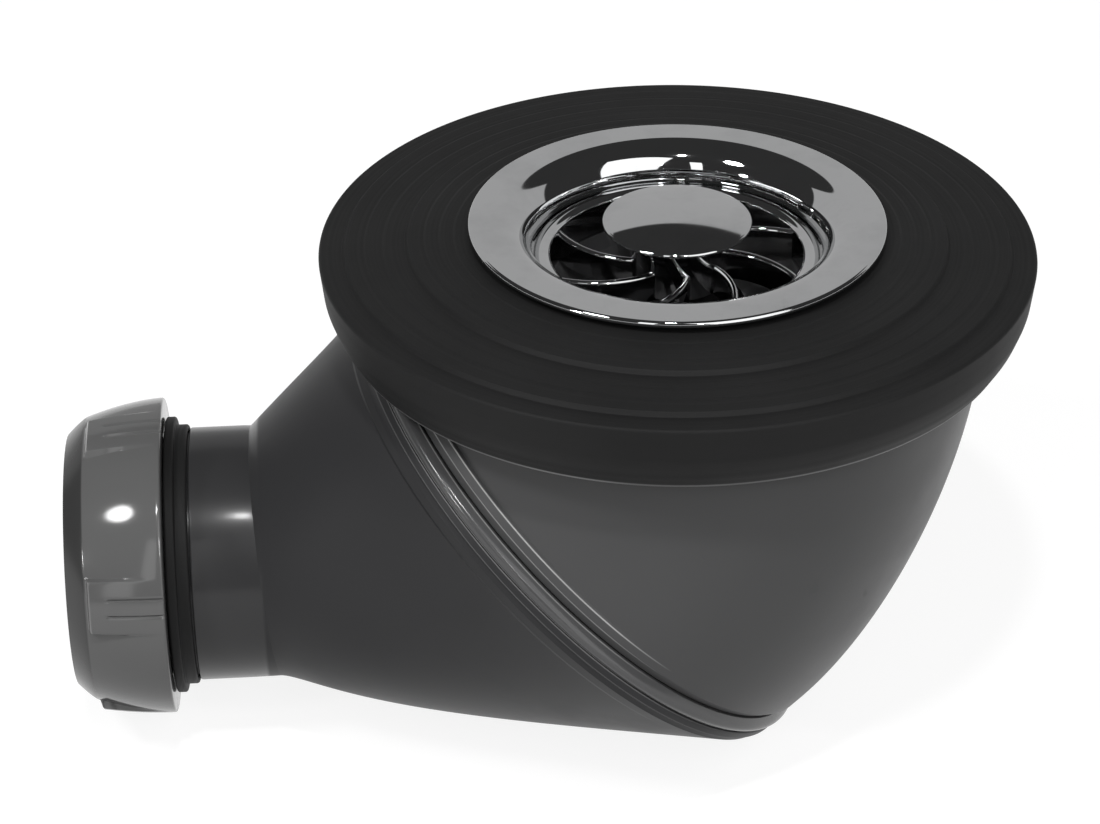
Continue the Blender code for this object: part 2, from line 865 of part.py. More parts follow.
def nut_outer_radius(along, offset):
    """The nut's radius at a distance from its back and an arc length from a lug's middle."""
    share = along / nut_length
    radius = nut_radius - nut_dome_fall * share**1.6 - nut_nose_fall * share**8
    if along <= lug_end and abs(offset) <= lug_width / 2:
        radius = max(radius, nut_radius - lug_fall * share**2)
    groove_distance = abs(abs(offset) - groove_pitch / 2)
    if groove_distance < groove_width / 4 and along <= groove_end:
        radius -= groove_depth
    return radius


def nut_turns():
    """Angles round the nut, close together at the lugs' walls and grooves."""
    half = lug_width / 2
    edges = [half + lug_wall_run, half]
    edges += [groove_pitch / 2 + groove_width / 2 * side for side in (1, 0, -1)]
    offsets = [-edge for edge in edges] + list(reversed(edges))
    turns = []
    pitch = math.tau / nut_lugs
    for lug in range(nut_lugs):
        middle = lug_first_angle + pitch * lug
        turns += [(middle + offset / nut_radius, offset) for offset in offsets]
        for share in (0.25, 0.5, 0.75):
            free = pitch - 2 * edges[0] / nut_radius
            angle = middle + edges[0] / nut_radius + free * share
            turns.append((angle, half * 2))
    return turns


def build_outlet_nut(plastic):
    turns = nut_turns()

    def loop(along, radius_at):
        centre = outlet.origin + outlet.heading * (nut_back + along)
        points = []
        for turn, offset in turns:
            radius = radius_at(offset)
            spoke = math.cos(turn) * outlet.side + math.sin(turn) * across
            points.append(centre + radius * spoke)
        return points

    stations = [nut_back_round, groove_end, groove_end + groove_width]
    stations += [lug_end, lug_end + lug_wall_run, nut_length]
    stations += [nut_length * share for share in nut_station_shares]
    stations.sort()
    loops = [loop(0, lambda offset: nut_outer_radius(0, offset) - nut_back_round)]
    for along in stations:
        loops.append(loop(along, lambda offset, at=along: nut_outer_radius(at, offset)))
    depth = nut_shoulder - nut_back
    inside = [
        (nut_length, nut_bore_radius),
        (depth, nut_throat_radius),
        (depth, nut_bore_radius),
        (0, nut_bore_radius),
    ]
    for along, radius in inside:
        loops.append(loop(along, lambda offset, size=radius: size))
    mesh = mesh_from_loops("outlet_nut", loops, True)
    return finish_object("outlet_nut", mesh, plastic, outlet)


def build_slip_ring(plastic):
    start = pipe_seal_back + seat_gap
    profile = [
        (start, pipe_seal_radius),
        (start, thread_radius),
        (slip_ring_end, thread_radius),
        (slip_ring_end, pipe_seal_radius),
    ]
    return turned("slip_ring", outlet, profile, hidden_segments, plastic)


def build_outlet_seal(rubber):
    """A tapered ring whose thin end enters the chamfered mouth of the spigot."""
    tip = thread_end - pipe_seal_reach
    shoulder = thread_end + seat_gap
    mouth_radius = pipe_bore_radius + mouth_chamfer - seat_gap
    profile = [
        (tip, pipe_seal_radius),
        (tip, mouth_radius - pipe_seal_reach),
        (thread_end, mouth_radius),
        (shoulder, mouth_radius),
        (shoulder, thread_radius),
        (pipe_seal_back, thread_radius),
        (pipe_seal_back, pipe_seal_radius),
    ]
    return turned("outlet_seal", outlet, profile, hidden_segments, rubber)


def hang_on_swivel(pieces):
    """Parents what turns with the outlet to an empty on the swivel axis."""
    pivot = bpy.data.objects.new("outlet_swivel", None)
    pivot.location = swivel.origin
    pivot.rotation_euler = (0, swivel_angle, 0)
    bpy.context.scene.collection.objects.link(pivot)
    bpy.context.view_layer.update()
    for piece in pieces:
        piece.parent = pivot
        piece.matrix_parent_inverse = pivot.matrix_world.inverted()


def main():
    clear_scene()
    chrome = make_material("chrome", (0.62, 0.62, 0.63), 0.06, 1.0)
    rubber = make_material("black_rubber", (0.018, 0.018, 0.018), 0.55)
    upper_plastic = make_material("dark_grey_plastic", (0.085, 0.085, 0.087), 0.42)
    lower_plastic = make_material("darker_grey_plastic", (0.050, 0.050, 0.053), 0.45)
    nut_plastic = make_material("glossy_grey_plastic", (0.12, 0.12, 0.12), 0.18)
    insert_plastic = make_material("black_plastic", (0.025, 0.025, 0.026), 0.4)
    seal_rubber = make_material("seal_rubber", (0.015, 0.015, 0.016), 0.6)

    build_waste_flange(chrome)
    build_strainer_frame(chrome)
    build_strainer_cap(chrome)
    build_flange_gasket(seal_rubber)
    build_tray_washer(rubber)
    build_dip_tube(insert_plastic)
    build_dip_tube_seal(seal_rubber)
    build_inner_cup(insert_plastic)
    build_upper_body(upper_plastic)
    build_swivel_seal(seal_rubber)
    turning = [
        build_swivel_ring(upper_plastic),
        build_lower_body(lower_plastic),
        build_nut_backing_ring(rubber),
        build_outlet_nut(nut_plastic),
        build_slip_ring(insert_plastic),
        build_outlet_seal(seal_rubber),
    ]
    hang_on_swivel(turning)


main()
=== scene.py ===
import math

import bpy
import numpy as np
from mathutils import Matrix, Vector


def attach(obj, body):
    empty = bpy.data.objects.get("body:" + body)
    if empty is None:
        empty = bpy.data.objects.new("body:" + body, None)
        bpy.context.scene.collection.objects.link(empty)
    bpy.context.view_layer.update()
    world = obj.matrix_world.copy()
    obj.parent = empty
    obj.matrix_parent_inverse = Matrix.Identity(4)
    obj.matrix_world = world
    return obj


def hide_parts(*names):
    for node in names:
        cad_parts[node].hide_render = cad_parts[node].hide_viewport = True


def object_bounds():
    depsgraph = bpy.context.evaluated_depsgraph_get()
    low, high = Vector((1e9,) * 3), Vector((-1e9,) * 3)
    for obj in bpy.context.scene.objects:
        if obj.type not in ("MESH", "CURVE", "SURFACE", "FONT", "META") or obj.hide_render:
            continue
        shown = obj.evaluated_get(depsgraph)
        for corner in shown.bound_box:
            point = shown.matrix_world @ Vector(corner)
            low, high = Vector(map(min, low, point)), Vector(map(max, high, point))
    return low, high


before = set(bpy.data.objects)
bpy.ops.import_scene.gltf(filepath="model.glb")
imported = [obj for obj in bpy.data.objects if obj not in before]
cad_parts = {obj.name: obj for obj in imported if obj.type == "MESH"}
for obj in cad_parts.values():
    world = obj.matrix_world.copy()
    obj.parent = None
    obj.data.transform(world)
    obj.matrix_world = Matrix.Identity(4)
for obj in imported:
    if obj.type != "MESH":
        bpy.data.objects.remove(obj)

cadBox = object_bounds()
print("frame loaded")


def axisFrom(x, z, degrees):
    # Origin, heading and side of an axis in the middle plane, turned from straight down towards
    # -X: heading = (-sin, 0, -cos) and side = (cos, 0, -sin) of the angle.
    turn = math.radians(degrees)
    heading = np.array([-math.sin(turn), 0.0, -math.cos(turn)])
    side = np.array([math.cos(turn), 0.0, -math.sin(turn)])
    return np.array([x, 0.0, z]), heading, side


outletLevel = -0.0686  # height of the outlet pipe's middle
drainAxis = axisFrom(0.0, 0.0, 0)
swivelAxis = axisFrom(-0.0157, -0.0568, 45)
outletAxis = axisFrom(0.0, outletLevel, 90)

# Roundings of small corners, in metres.
crisp, fine, small, soft, wide, full = 0.0001, 0.0002, 0.0003, 0.0004, 0.0005, 0.0006


def roundCorners(profile, steps=4, closed=True, edgeShare=0.49, flatHalf=87):
    # Each corner (along, radius, rounding) becomes an arc that touches both of its edges at
    # rounding / tan(half the corner's angle), but at most at edgeShare of an edge. Its centre is
    # on the bisector at rounding / sin(half). Past flatHalf degrees the corner stays a point.
    points = np.array([p[:2] for p in profile], float)
    count = len(points)
    out = []
    for i in range(count):
        size = profile[i][2] if len(profile[i]) > 2 else 0
        if size <= 0 or (not closed and i in (0, count - 1)):
            out.append(points[i][None])
            continue
        toLast = points[i - 1] - points[i]
        toNext = points[(i + 1) % count] - points[i]
        a = toLast / np.linalg.norm(toLast)
        b = toNext / np.linalg.norm(toNext)
        half = math.acos(float(np.clip(a @ b, -1, 1))) / 2
        if half > math.radians(flatHalf):
            out.append(points[i][None])
            continue
        reach = min(size / math.tan(half), np.linalg.norm(toLast) * edgeShare, np.linalg.norm(toNext) * edgeShare)
        size = reach * math.tan(half)
        middle = points[i] + (a + b) / np.linalg.norm(a + b) * size / math.sin(half)
        first = points[i] + a * reach - middle
        last = points[i] + b * reach - middle
        share = np.linspace(0, 1, steps + 1)[:, None]
        blend = first * (1 - share) + last * share
        out.append(middle + blend / np.linalg.norm(blend, axis=1)[:, None] * size)
    return np.concatenate(out)


def ringRows(centres, side, radius, inset=0.0):
    # Rows of (centre x, centre z, side x, side z, radius, inset), one for each ring.
    rows = np.zeros((len(centres), 6))
    rows[:, 0:2], rows[:, 2:4], rows[:, 4], rows[:, 5] = centres, side, radius, inset
    return rows


def turnedRings(axis, profile):  # centre = origin + along * heading, for (along, radius) rows
    origin, heading, side = axis
    centres = origin + profile[:, :1] * heading
    return ringRows(centres[:, [0, 2]], side[[0, 2]], profile[:, 1])


def ringsBetween(near, far, inset):
    # Rings square to the middle plane, each with its diameter from a near to a far (x, z) point:
    # centre = (near + far) / 2 and radius = the distance between them / 2.
    span = far - near
    length = np.linalg.norm(span, axis=1)
    return ringRows((near + far) / 2, span / length[:, None], length / 2, inset)


def ringLoops(rings, segments, fade=0.6):
    # Point = centre + radius * (cos(turn) * side + sin(turn) * Y), where the radius is drawn in
    # on the near side by inset * max(-cos(turn), 0) ^ fade.
    turn = np.linspace(0, 2 * np.pi, segments, endpoint=False)
    near = np.clip(-np.cos(turn), 0, None) ** fade
    radius = rings[:, 4:5] - rings[:, 5:6] * near
    x = rings[:, 0:1] + radius * np.cos(turn) * rings[:, 2:3]
    y = radius * np.sin(turn)
    z = rings[:, 1:2] + radius * np.cos(turn) * rings[:, 3:4]
    return np.stack([x, y, z], axis=2)


def shellArrays(loops, poles=False):
    # Quads join each loop to the next. Without poles the last loop joins the first; with poles
    # a fan closes each end on its middle. Faces turn outwards by the sign of the volume, the sum
    # of p0 . (p1 x p2) over all triangles.
    rows, columns = loops.shape[:2]
    verts = loops.reshape(-1, 3)
    i = np.arange(rows - 1 if poles else rows)[:, None] * columns
    after = (i + columns) % (rows * columns)
    j = np.arange(columns)
    k = (j + 1) % columns
    quads = np.stack([i + j, i + k, after + k, after + j], axis=2).reshape(-1, 4)
    tris = np.zeros((0, 3), int)
    if poles:
        ends = np.stack([loops[0].mean(axis=0), loops[-1].mean(axis=0)])
        verts = np.concatenate([verts, ends])
        low = np.stack([k, j, np.full(columns, rows * columns)], axis=1)
        top = (rows - 1) * columns
        high = np.stack([top + j, top + k, np.full(columns, rows * columns + 1)], axis=1)
        tris = np.concatenate([low, high])
    volume = 0.0
    for corners in (quads[:, [0, 1, 2]], quads[:, [0, 2, 3]], tris):
        p = verts[corners]
        volume += np.einsum("ij,ij->", p[:, 0], np.cross(p[:, 1], p[:, 2]))
    if volume < 0:
        quads, tris = quads[:, ::-1], tris[:, ::-1]
    return verts, quads, tris


def addObject(name, data):  # a new object in the scene, at the origin
    made = bpy.data.objects.new(name, data)
    bpy.context.scene.collection.objects.link(made)
    return made


def makePiece(name, shells, material, body, node, sharp=32, crease=None):
    # Shells (verts, quads, tris) go into one mesh, smooth but for edges sharper than the angle
    # and for those of one crease ring, given as its first and last vertex.
    vertParts, faceList, start = [], [], 0
    for verts, quads, tris in shells:
        vertParts.append(verts)
        faceList += (quads + start).tolist() + (tris + start).tolist()
        start += len(verts)
    mesh = bpy.data.meshes.new(name)
    mesh.from_pydata(np.concatenate(vertParts).tolist(), [], faceList)
    mesh.shade_smooth()
    mesh.set_sharp_from_angle(angle=math.radians(sharp))
    if crease:
        ends = np.zeros(len(mesh.edges) * 2, int)
        mesh.edges.foreach_get("vertices", ends)
        onRing = ((ends >= crease[0]) & (ends <= crease[1])).reshape(-1, 2).all(axis=1)
        isSharp = np.zeros(len(mesh.edges), bool)
        marks = mesh.attributes["sharp_edge"].data
        marks.foreach_get("value", isSharp)
        marks.foreach_set("value", isSharp | onRing)
    mesh.materials.append(material)
    piece = addObject(name, mesh)
    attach(piece, body)
    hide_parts(node)


def turnedShell(axis, profile, segments, steps=4):
    # One closed profile turned about an axis; each rounded corner is an arc of so many steps.
    return shellArrays(ringLoops(turnedRings(axis, roundCorners(profile, steps)), segments))


def feed(tree, node, inputs):
    # Another node's output is linked to the named or numbered input; any other value is set.
    for key, value in inputs.items():
        if isinstance(value, bpy.types.NodeSocket):
            tree.links.new(value, node.inputs[key])
        else:
            node.inputs[key].default_value = value
    return node


def addNode(tree, kind, inputs, **settings):  # settings: its own properties
    node = tree.nodes.new(kind)
    for key, value in settings.items():
        setattr(node, key, value)
    return feed(tree, node, inputs)


def newGroup(name, values, results):
    # A node group that takes a place and named values, and gives named results.
    group = bpy.data.node_groups.new(name, "ShaderNodeTree")
    group.interface.new_socket(name="Place", in_out="INPUT", socket_type="NodeSocketVector")
    for label, value in values.items():
        socket = group.interface.new_socket(name=label, in_out="INPUT", socket_type="NodeSocketFloat")
        socket.default_value = value
    for label in results:
        group.interface.new_socket(name=label, in_out="OUTPUT", socket_type="NodeSocketFloat")
    return group, group.nodes.new("NodeGroupInput").outputs, group.nodes.new("NodeGroupOutput")


def addNoise(tree, place, scale, detail, roughness=0.5):
    return addNode(tree, "ShaderNodeTexNoise", {
        "Vector": place, "Scale": scale, "Detail": detail, "Roughness": roughness}).outputs["Fac"]


def addRange(tree, value, fromMin, fromMax, toMin=0.0, toMax=1.0):
    # Straight line from toMin at fromMin to toMax at fromMax, held beyond both.
    inputs = {0: value, 1: fromMin, 2: fromMax, 3: toMin, 4: toMax}
    return addNode(tree, "ShaderNodeMapRange", inputs).outputs[0]


def addSpan(tree, mask, low, high):  # low where the mask is 0, high where it is 1
    return addRange(tree, mask, 0.0, 1.0, low, high)


def addMath(tree, operation, total, *values):  # joins all values in turn
    for value in values:
        total = addNode(tree, "ShaderNodeMath", {0: total, 1: value}, operation=operation).outputs[0]
    return total


surfaceMarks = {
    "pebbleDetail": 3.0, "pebbleRoughness": 0.6, "mottleDetail": 2.0, "mottleLimits": (0.3, 0.7),
    "patchDetail": 4.0, "patchRoughness": 0.62, "patchLimits": (0.46, 0.66),
    "scratchTurn": (0.3, 0.5, 0.7), "scratchStretch": (1.0, 0.06, 0.5), "scratchDetail": 2.0,
    "scratchLimits": (0.70, 0.76), "lineDetail": 2.0, "cornerLimits": (0.525, 0.575), "rubScale": 160.0,
    "rubDetail": 3.0, "rubLimits": (0.35, 0.65), "leastRub": 0.25}


def mouldedGrainGroup(s):  # fine pebbling of a mould's face, and broad mottling from its flow
    group, start, end = newGroup("mouldedGrain", {"Grain Scale": 1800.0, "Mottle Scale": 28.0}, ("Height", "Mottle"))
    pebbles = addNoise(group, start["Place"], start["Grain Scale"], s["pebbleDetail"], s["pebbleRoughness"])
    broad = addNoise(group, start["Place"], start["Mottle Scale"], s["mottleDetail"])
    feed(group, end, {"Height": pebbles, "Mottle": addRange(group, broad, *s["mottleLimits"])})
    return group


def handlingMarksGroup(s):  # faint rubbed patches and hair scratches that only change the gloss
    scales = {"Patch Scale": 45.0, "Scratch Scale": 220.0}
    group, start, end = newGroup("handlingMarks", scales, ("Patches", "Scratches"))
    patch = addNoise(group, start["Place"], start["Patch Scale"], s["patchDetail"], s["patchRoughness"])
    stretched = addNode(group, "ShaderNodeMapping", {
        "Vector": start["Place"], "Rotation": s["scratchTurn"], "Scale": s["scratchStretch"]})
    hair = addNoise(group, stretched.outputs["Vector"], start["Scratch Scale"], s["scratchDetail"])
    feed(group, end, {
        "Patches": addRange(group, patch, *s["patchLimits"]), "Scratches": addRange(group, hair, *s["scratchLimits"])})
    return group


def turningLinesGroup(s):  # rings round the Z axis: noise of lines * the distance to it
    group, start, end = newGroup("turningLines", {"Lines": 900.0}, ("Height",))
    flat = addNode(group, "ShaderNodeVectorMath", {0: start["Place"], 1: (1.0, 1.0, 0.0)}, operation="MULTIPLY")
    length = addNode(group, "ShaderNodeVectorMath", {0: flat.outputs[0]}, operation="LENGTH")
    rings = addMath(group, "MULTIPLY", length.outputs["Value"], start["Lines"])
    inputs = {"W": rings, "Detail": s["lineDetail"], "Scale": 1.0}
    noise = addNode(group, "ShaderNodeTexNoise", inputs, noise_dimensions="1D")
    feed(group, end, {"Height": noise.outputs["Fac"]})
    return group


def edgeRubAndHighlightGroup(s):  # where a corner stands out it is paler: partly polish from handling, partly painted highlight
    group, start, end = newGroup("edgeRubAndHighlight", {"Reach": 1.0}, ("RubAndHighlight",))
    shape = addNode(group, "ShaderNodeNewGeometry", {})
    corner = addRange(group, shape.outputs["Pointiness"], *s["cornerLimits"])
    patchy = addNoise(group, start["Place"], s["rubScale"], s["rubDetail"])
    patchy = addRange(group, patchy, *s["rubLimits"], s["leastRub"], 1.0)
    feed(group, end, {"RubAndHighlight": addMath(group, "MULTIPLY", corner, patchy, start["Reach"])})
    return group


mouldedGrain = mouldedGrainGroup(surfaceMarks)
handlingMarks = handlingMarksGroup(surfaceMarks)
turningLines = turningLinesGroup(surfaceMarks)
edgeRubAndHighlight = edgeRubAndHighlightGroup(surfaceMarks)
print("shader groups built")


def startMaterial(name):  # with the point on the piece, in Object coordinates
    material = bpy.data.materials.new(name)
    material.use_nodes = True
    tree = material.node_tree
    place = addNode(tree, "ShaderNodeTexCoord", {}).outputs["Object"]
    return material, tree, tree.nodes["Principled BSDF"], place


def useGroup(tree, group, place, values={}):  # the group's results at a place
    return addNode(tree, "ShaderNodeGroup", {"Place": place, **values}, node_tree=group).outputs


def addColourMix(tree, mask, low, high):
    # low * (1 - mask) + high * mask, where low is a plain tone or another node's colour.
    low = (*low, 1) if isinstance(low, tuple) else low
    return addNode(tree, "ShaderNodeMix", {0: mask, 6: low, 7: (*high, 1)}, data_type="RGBA").outputs[2]


def addBump(tree, height, strength, distance, under=None):  # over another normal, if given
    inputs = {"Strength": strength, "Distance": distance, "Height": height}
    if under is not None:
        inputs["Normal"] = under
    return addNode(tree, "ShaderNodeBump", inputs).outputs["Normal"]


def addAlong(tree, place, way, origin=(0.0,) * 3):  # (place - origin) . way
    away = addNode(tree, "ShaderNodeVectorMath", {0: place, 1: tuple(origin)}, operation="SUBTRACT")
    dot = addNode(tree, "ShaderNodeVectorMath", {0: away.outputs[0], 1: tuple(way)}, operation="DOT_PRODUCT")
    return dot.outputs["Value"]


# Edge lines are painted highlights along the joint's edges: (distance along the swivel axis, half width, strength).
ringHighlightLines = {
    "lines": ((-0.00352, 0.0002, 1.0), (-0.00175, 0.0002, 0.6), (0.00042, 0.00012, 0.4), (0.0033, 0.00014, 0.5)),
    "fade": (-0.006, 0.010)}
collarHighlightLines = {"lines": ((0.00362, 0.00012, 0.5), (0.0050, 0.00014, 0.3)), "fade": (0.0, 0.050)}
pipeFinish = {
    "start": -0.0812, "blend": 0.0006, "tone": (0.030, 0.030, 0.031), "smoother": -0.14, "coat": 0.22,
    "coatRoughness": 0.16, "stepAt": 0.0086, "stepRun": 0.00022, "stepHeight": 0.0002, "stepFade": (-0.015, 0.022)}
# the nose's dark tone is painted shade on the nut's front cone; its roughness is its own
noseShadeFinish = {"start": -0.11495, "blend": 0.0003, "tone": (0.036,) * 3, "smoother": 0.12}


def addEdgeHighlightLines(tree, place, edges, highlightPatchiness):
    # Paler lines along the joint's edges, painted highlights where the edges catch the light: the highest of strength *
    # (1 - distance / half width), times a fade towards the far side, times the patchiness mask.
    down = addAlong(tree, place, swivelAxis[1], swivelAxis[0])
    near = addRange(tree, addAlong(tree, place, swivelAxis[2], swivelAxis[0]), *edges["fade"], 1.0, 0.0)
    peaks = []
    for at, half, strength in edges["lines"]:
        away = addNode(tree, "ShaderNodeMath", {0: addMath(tree, "SUBTRACT", down, at)}, operation="ABSOLUTE")
        peaks.append(addRange(tree, away.outputs[0], 0.0, half, strength, 0.0))
    return addMath(tree, "MULTIPLY", addMath(tree, "MAXIMUM", *peaks), near, highlightPatchiness)


def addStep(tree, place, end):
    # A shallow step at a distance along the swivel axis, faded towards the far side.
    down = addAlong(tree, place, swivelAxis[1], swivelAxis[0])
    step = addRange(tree, down, end["stepAt"] - end["stepRun"], end["stepAt"] + end["stepRun"], 1.0, 0.0)
    near = addRange(tree, addAlong(tree, place, swivelAxis[2], swivelAxis[0]), *end["stepFade"], 1.0, 0.0)
    return addBump(tree, addMath(tree, "MULTIPLY", step, near), 1.0, end["stepHeight"])


def mouldedMaterial(name, look, edges=None, end=None):
    # Colour: mottle between two tones, then paler where corners stand out, which is partly wear and partly painted
    # highlight, and paler along the joint's edge lines, which are painted highlights. Roughness: base plus patches *
    # spread, mottle * mottleShare * spread and scratches * scratchRoughness. Normal: fine grain of the mould's face.
    # The end beyond a place along X may have its own tone and gloss, and a shallow step; the nut's darker nose tone is
    # painted shade.
    material, tree, shader, place = startMaterial(name)
    scales = {"Grain Scale": look["grainScale"], "Mottle Scale": look["mottleScale"]}
    grain = useGroup(tree, mouldedGrain, place, scales)
    marks = useGroup(tree, handlingMarks, place)
    rubAndHighlight = useGroup(tree, edgeRubAndHighlight, place, {"Reach": look["edgeRubAndHighlight"]})
    colour = addColourMix(tree, grain["Mottle"], look["darkTone"], look["paleTone"])
    # paler corners: partly edge wear, partly painted highlight
    colour = addColourMix(tree, rubAndHighlight["RubAndHighlight"], colour, look["rubAndHighlightTone"])
    spread = look["roughnessSpread"]
    rough = addMath(
        tree, "ADD", addSpan(tree, marks["Patches"], look["roughness"], look["roughness"] + spread),
        addSpan(tree, grain["Mottle"], 0.0, spread * look["mottleShare"]),
        addSpan(tree, marks["Scratches"], 0.0, look["scratchRoughness"]))
    normal = None
    if end:
        onEnd = addRange(tree, addAlong(tree, place, (1, 0, 0)), end["start"] - end["blend"], end["start"], 1.0, 0.0)
        colour = addColourMix(tree, onEnd, colour, end["tone"])
        rough = addMath(tree, "ADD", rough, addSpan(tree, onEnd, 0.0, end["smoother"]))
        if "coat" in end:
            feed(tree, shader, {
                "Coat Weight": addSpan(tree, onEnd, 0.0, end["coat"]), "Coat Roughness": end["coatRoughness"]})
        if "stepAt" in end:
            normal = addStep(tree, place, end)
    if edges:
        # painted highlights: pale lines along the joint's edges, patchy with the mottle
        highlightPatchiness = addSpan(tree, grain["Mottle"], look["leastHighlight"], 1.0)
        colour = addColourMix(tree, addEdgeHighlightLines(tree, place, edges, highlightPatchiness), colour, look["highlightLineTone"])
    feed(tree, shader, {
        "Base Color": colour, "Roughness": rough, "Specular IOR Level": look["specular"],
        "Normal": addBump(tree, grain["Height"], look["grainStrength"], look["grainDepth"], normal)})
    return material


mouldedLook = {  # what the moulded finishes share, where they say nothing else
    "roughnessSpread": 0.05, "mottleShare": 0.5, "scratchRoughness": 0.08, "leastHighlight": 0.55,
    "grainScale": 2600.0, "grainStrength": 0.10, "grainDepth": 0.00008, "edgeRubAndHighlight": 0.35}
# the pale line tone colours the painted highlight lines along the joint's edges
upperPlasticLook = {
    **mouldedLook, "darkTone": (0.063, 0.063, 0.064), "paleTone": (0.072, 0.072, 0.073), "rubAndHighlightTone": (0.13,) * 3,
    "highlightLineTone": (0.60,) * 3, "roughness": 0.38, "mottleScale": 22.0, "specular": 0.20}
ringPlasticLook = {**upperPlasticLook, "roughness": 0.16, "specular": 0.42}
lowerPlasticLook = {
    **mouldedLook, "darkTone": (0.025, 0.025, 0.0262), "paleTone": (0.030, 0.030, 0.0312),
    "rubAndHighlightTone": (0.07,) * 3, "highlightLineTone": (0.36,) * 3, "roughness": 0.42, "mottleScale": 20.0,
    "edgeRubAndHighlight": 0.3, "specular": 0.15}
nutPlasticLook = {
    **mouldedLook, "darkTone": (0.094,) * 3, "paleTone": (0.105,) * 3, "rubAndHighlightTone": (0.20,) * 3,
    "roughness": 0.09, "grainScale": 1500.0, "mottleScale": 30.0, "grainStrength": 0.03, "grainDepth": 0.00005,
    "specular": 0.42}
blackPlasticLook = {
    **mouldedLook, "darkTone": (0.026, 0.026, 0.027), "paleTone": (0.034, 0.034, 0.035), "rubAndHighlightTone": (0.05,) * 3,
    "roughness": 0.34, "roughnessSpread": 0.08, "grainScale": 2200.0, "mottleScale": 30.0, "edgeRubAndHighlight": 0.2,
    "specular": 0.3}
sealRubberLook = {
    **mouldedLook, "darkTone": (0.009,) * 3, "paleTone": (0.015,) * 3, "rubAndHighlightTone": (0.03,) * 3,
    "roughness": 0.55, "roughnessSpread": 0.1, "grainScale": 3000.0, "mottleScale": 60.0, "grainStrength": 0.2,
    "grainDepth": 0.0001, "edgeRubAndHighlight": 0.3, "specular": 0.2}

upperPlastic = mouldedMaterial("upperPlastic", upperPlasticLook, ringHighlightLines)
ringPlastic = mouldedMaterial("ringPlastic", ringPlasticLook, ringHighlightLines)
lowerPlastic = mouldedMaterial("lowerPlastic", lowerPlasticLook, collarHighlightLines, pipeFinish)
nutPlastic = mouldedMaterial("nutPlastic", nutPlasticLook, None, noseShadeFinish)
blackPlastic = mouldedMaterial("blackPlastic", blackPlasticLook)
sealRubber = mouldedMaterial("sealRubber", sealRubberLook)

# the foot's pale tone is a painted highlight along the washer's lower edge
washerRubberLook = {
    "darkTone": (0.012, 0.012, 0.0121), "paleTone": (0.0145, 0.0145, 0.0146), "roughness": 0.56,
    "roughnessSpread": 0.03, "specular": 0.12, "grainScale": 2400.0, "mottleScale": 35.0, "grainStrength": 0.18,
    "grainDepth": 0.00008, "patchScale": 60.0, "lines": 1500.0, "lineLimits": (0.3, 0.7), "lineRoughness": 0.04,
    "lineStrength": 0.05, "lineDepth": 0.00003, "footEdge": -0.0160, "footBlend": 0.0001,
    "footLowest": (-0.0171, -0.01705), "leastHighlight": 0.5, "footHighlightTone": (0.30,) * 3}


def washerRubberMaterial(look):
    # Black rubber: fine pebbling, faint rings from the turned mould, and a paler band at the foot, below footEdge and
    # above footLowest, which is a painted highlight along the lower edge.
    material, tree, shader, place = startMaterial("washerRubber")
    scales = {"Grain Scale": look["grainScale"], "Mottle Scale": look["mottleScale"]}
    grain = useGroup(tree, mouldedGrain, place, scales)
    marks = useGroup(tree, handlingMarks, place, {"Patch Scale": look["patchScale"]})
    rings = useGroup(tree, turningLines, place, {"Lines": look["lines"]})
    height = addAlong(tree, place, (0, 0, 1))
    # painted highlight: a pale band along the foot's lower edge, patchy with the mottle
    footHighlight = addMath(
        tree, "MULTIPLY",
        addRange(tree, height, look["footEdge"] - look["footBlend"], look["footEdge"] + look["footBlend"], 1.0, 0.0),
        addRange(tree, height, *look["footLowest"]), addSpan(tree, grain["Mottle"], look["leastHighlight"], 1.0))
    colour = addColourMix(tree, grain["Mottle"], look["darkTone"], look["paleTone"])
    rough = addSpan(tree, marks["Patches"], look["roughness"], look["roughness"] + look["roughnessSpread"])
    lineRough = addRange(tree, rings["Height"], *look["lineLimits"], -look["lineRoughness"], look["lineRoughness"])
    normal = addBump(tree, rings["Height"], look["lineStrength"], look["lineDepth"])
    feed(tree, shader, {
        "Base Color": addColourMix(tree, footHighlight, colour, look["footHighlightTone"]),
        "Roughness": addMath(tree, "ADD", rough, lineRough), "Specular IOR Level": look["specular"],
        "Normal": addBump(tree, grain["Height"], look["grainStrength"], look["grainDepth"], normal)})
    return material


washerRubber = washerRubberMaterial(washerRubberLook)

# the dark deep tone is painted shade inside the throat
chromeLook = {
    "tone": (0.60, 0.605, 0.61), "hazeTone": (0.55, 0.555, 0.56), "roughness": 0.035, "hazeRoughness": 0.075,
    "scratchRoughness": 0.05, "patchScale": 70.0, "scratchScale": 320.0, "rippleScale": 110.0, "rippleStrength": 0.05,
    "rippleDepth": 0.00006, "deepStart": -0.0050, "deepEnd": -0.0062, "throatShadeTone": (0.34, 0.34, 0.345),
    "deepRoughness": 0.06}


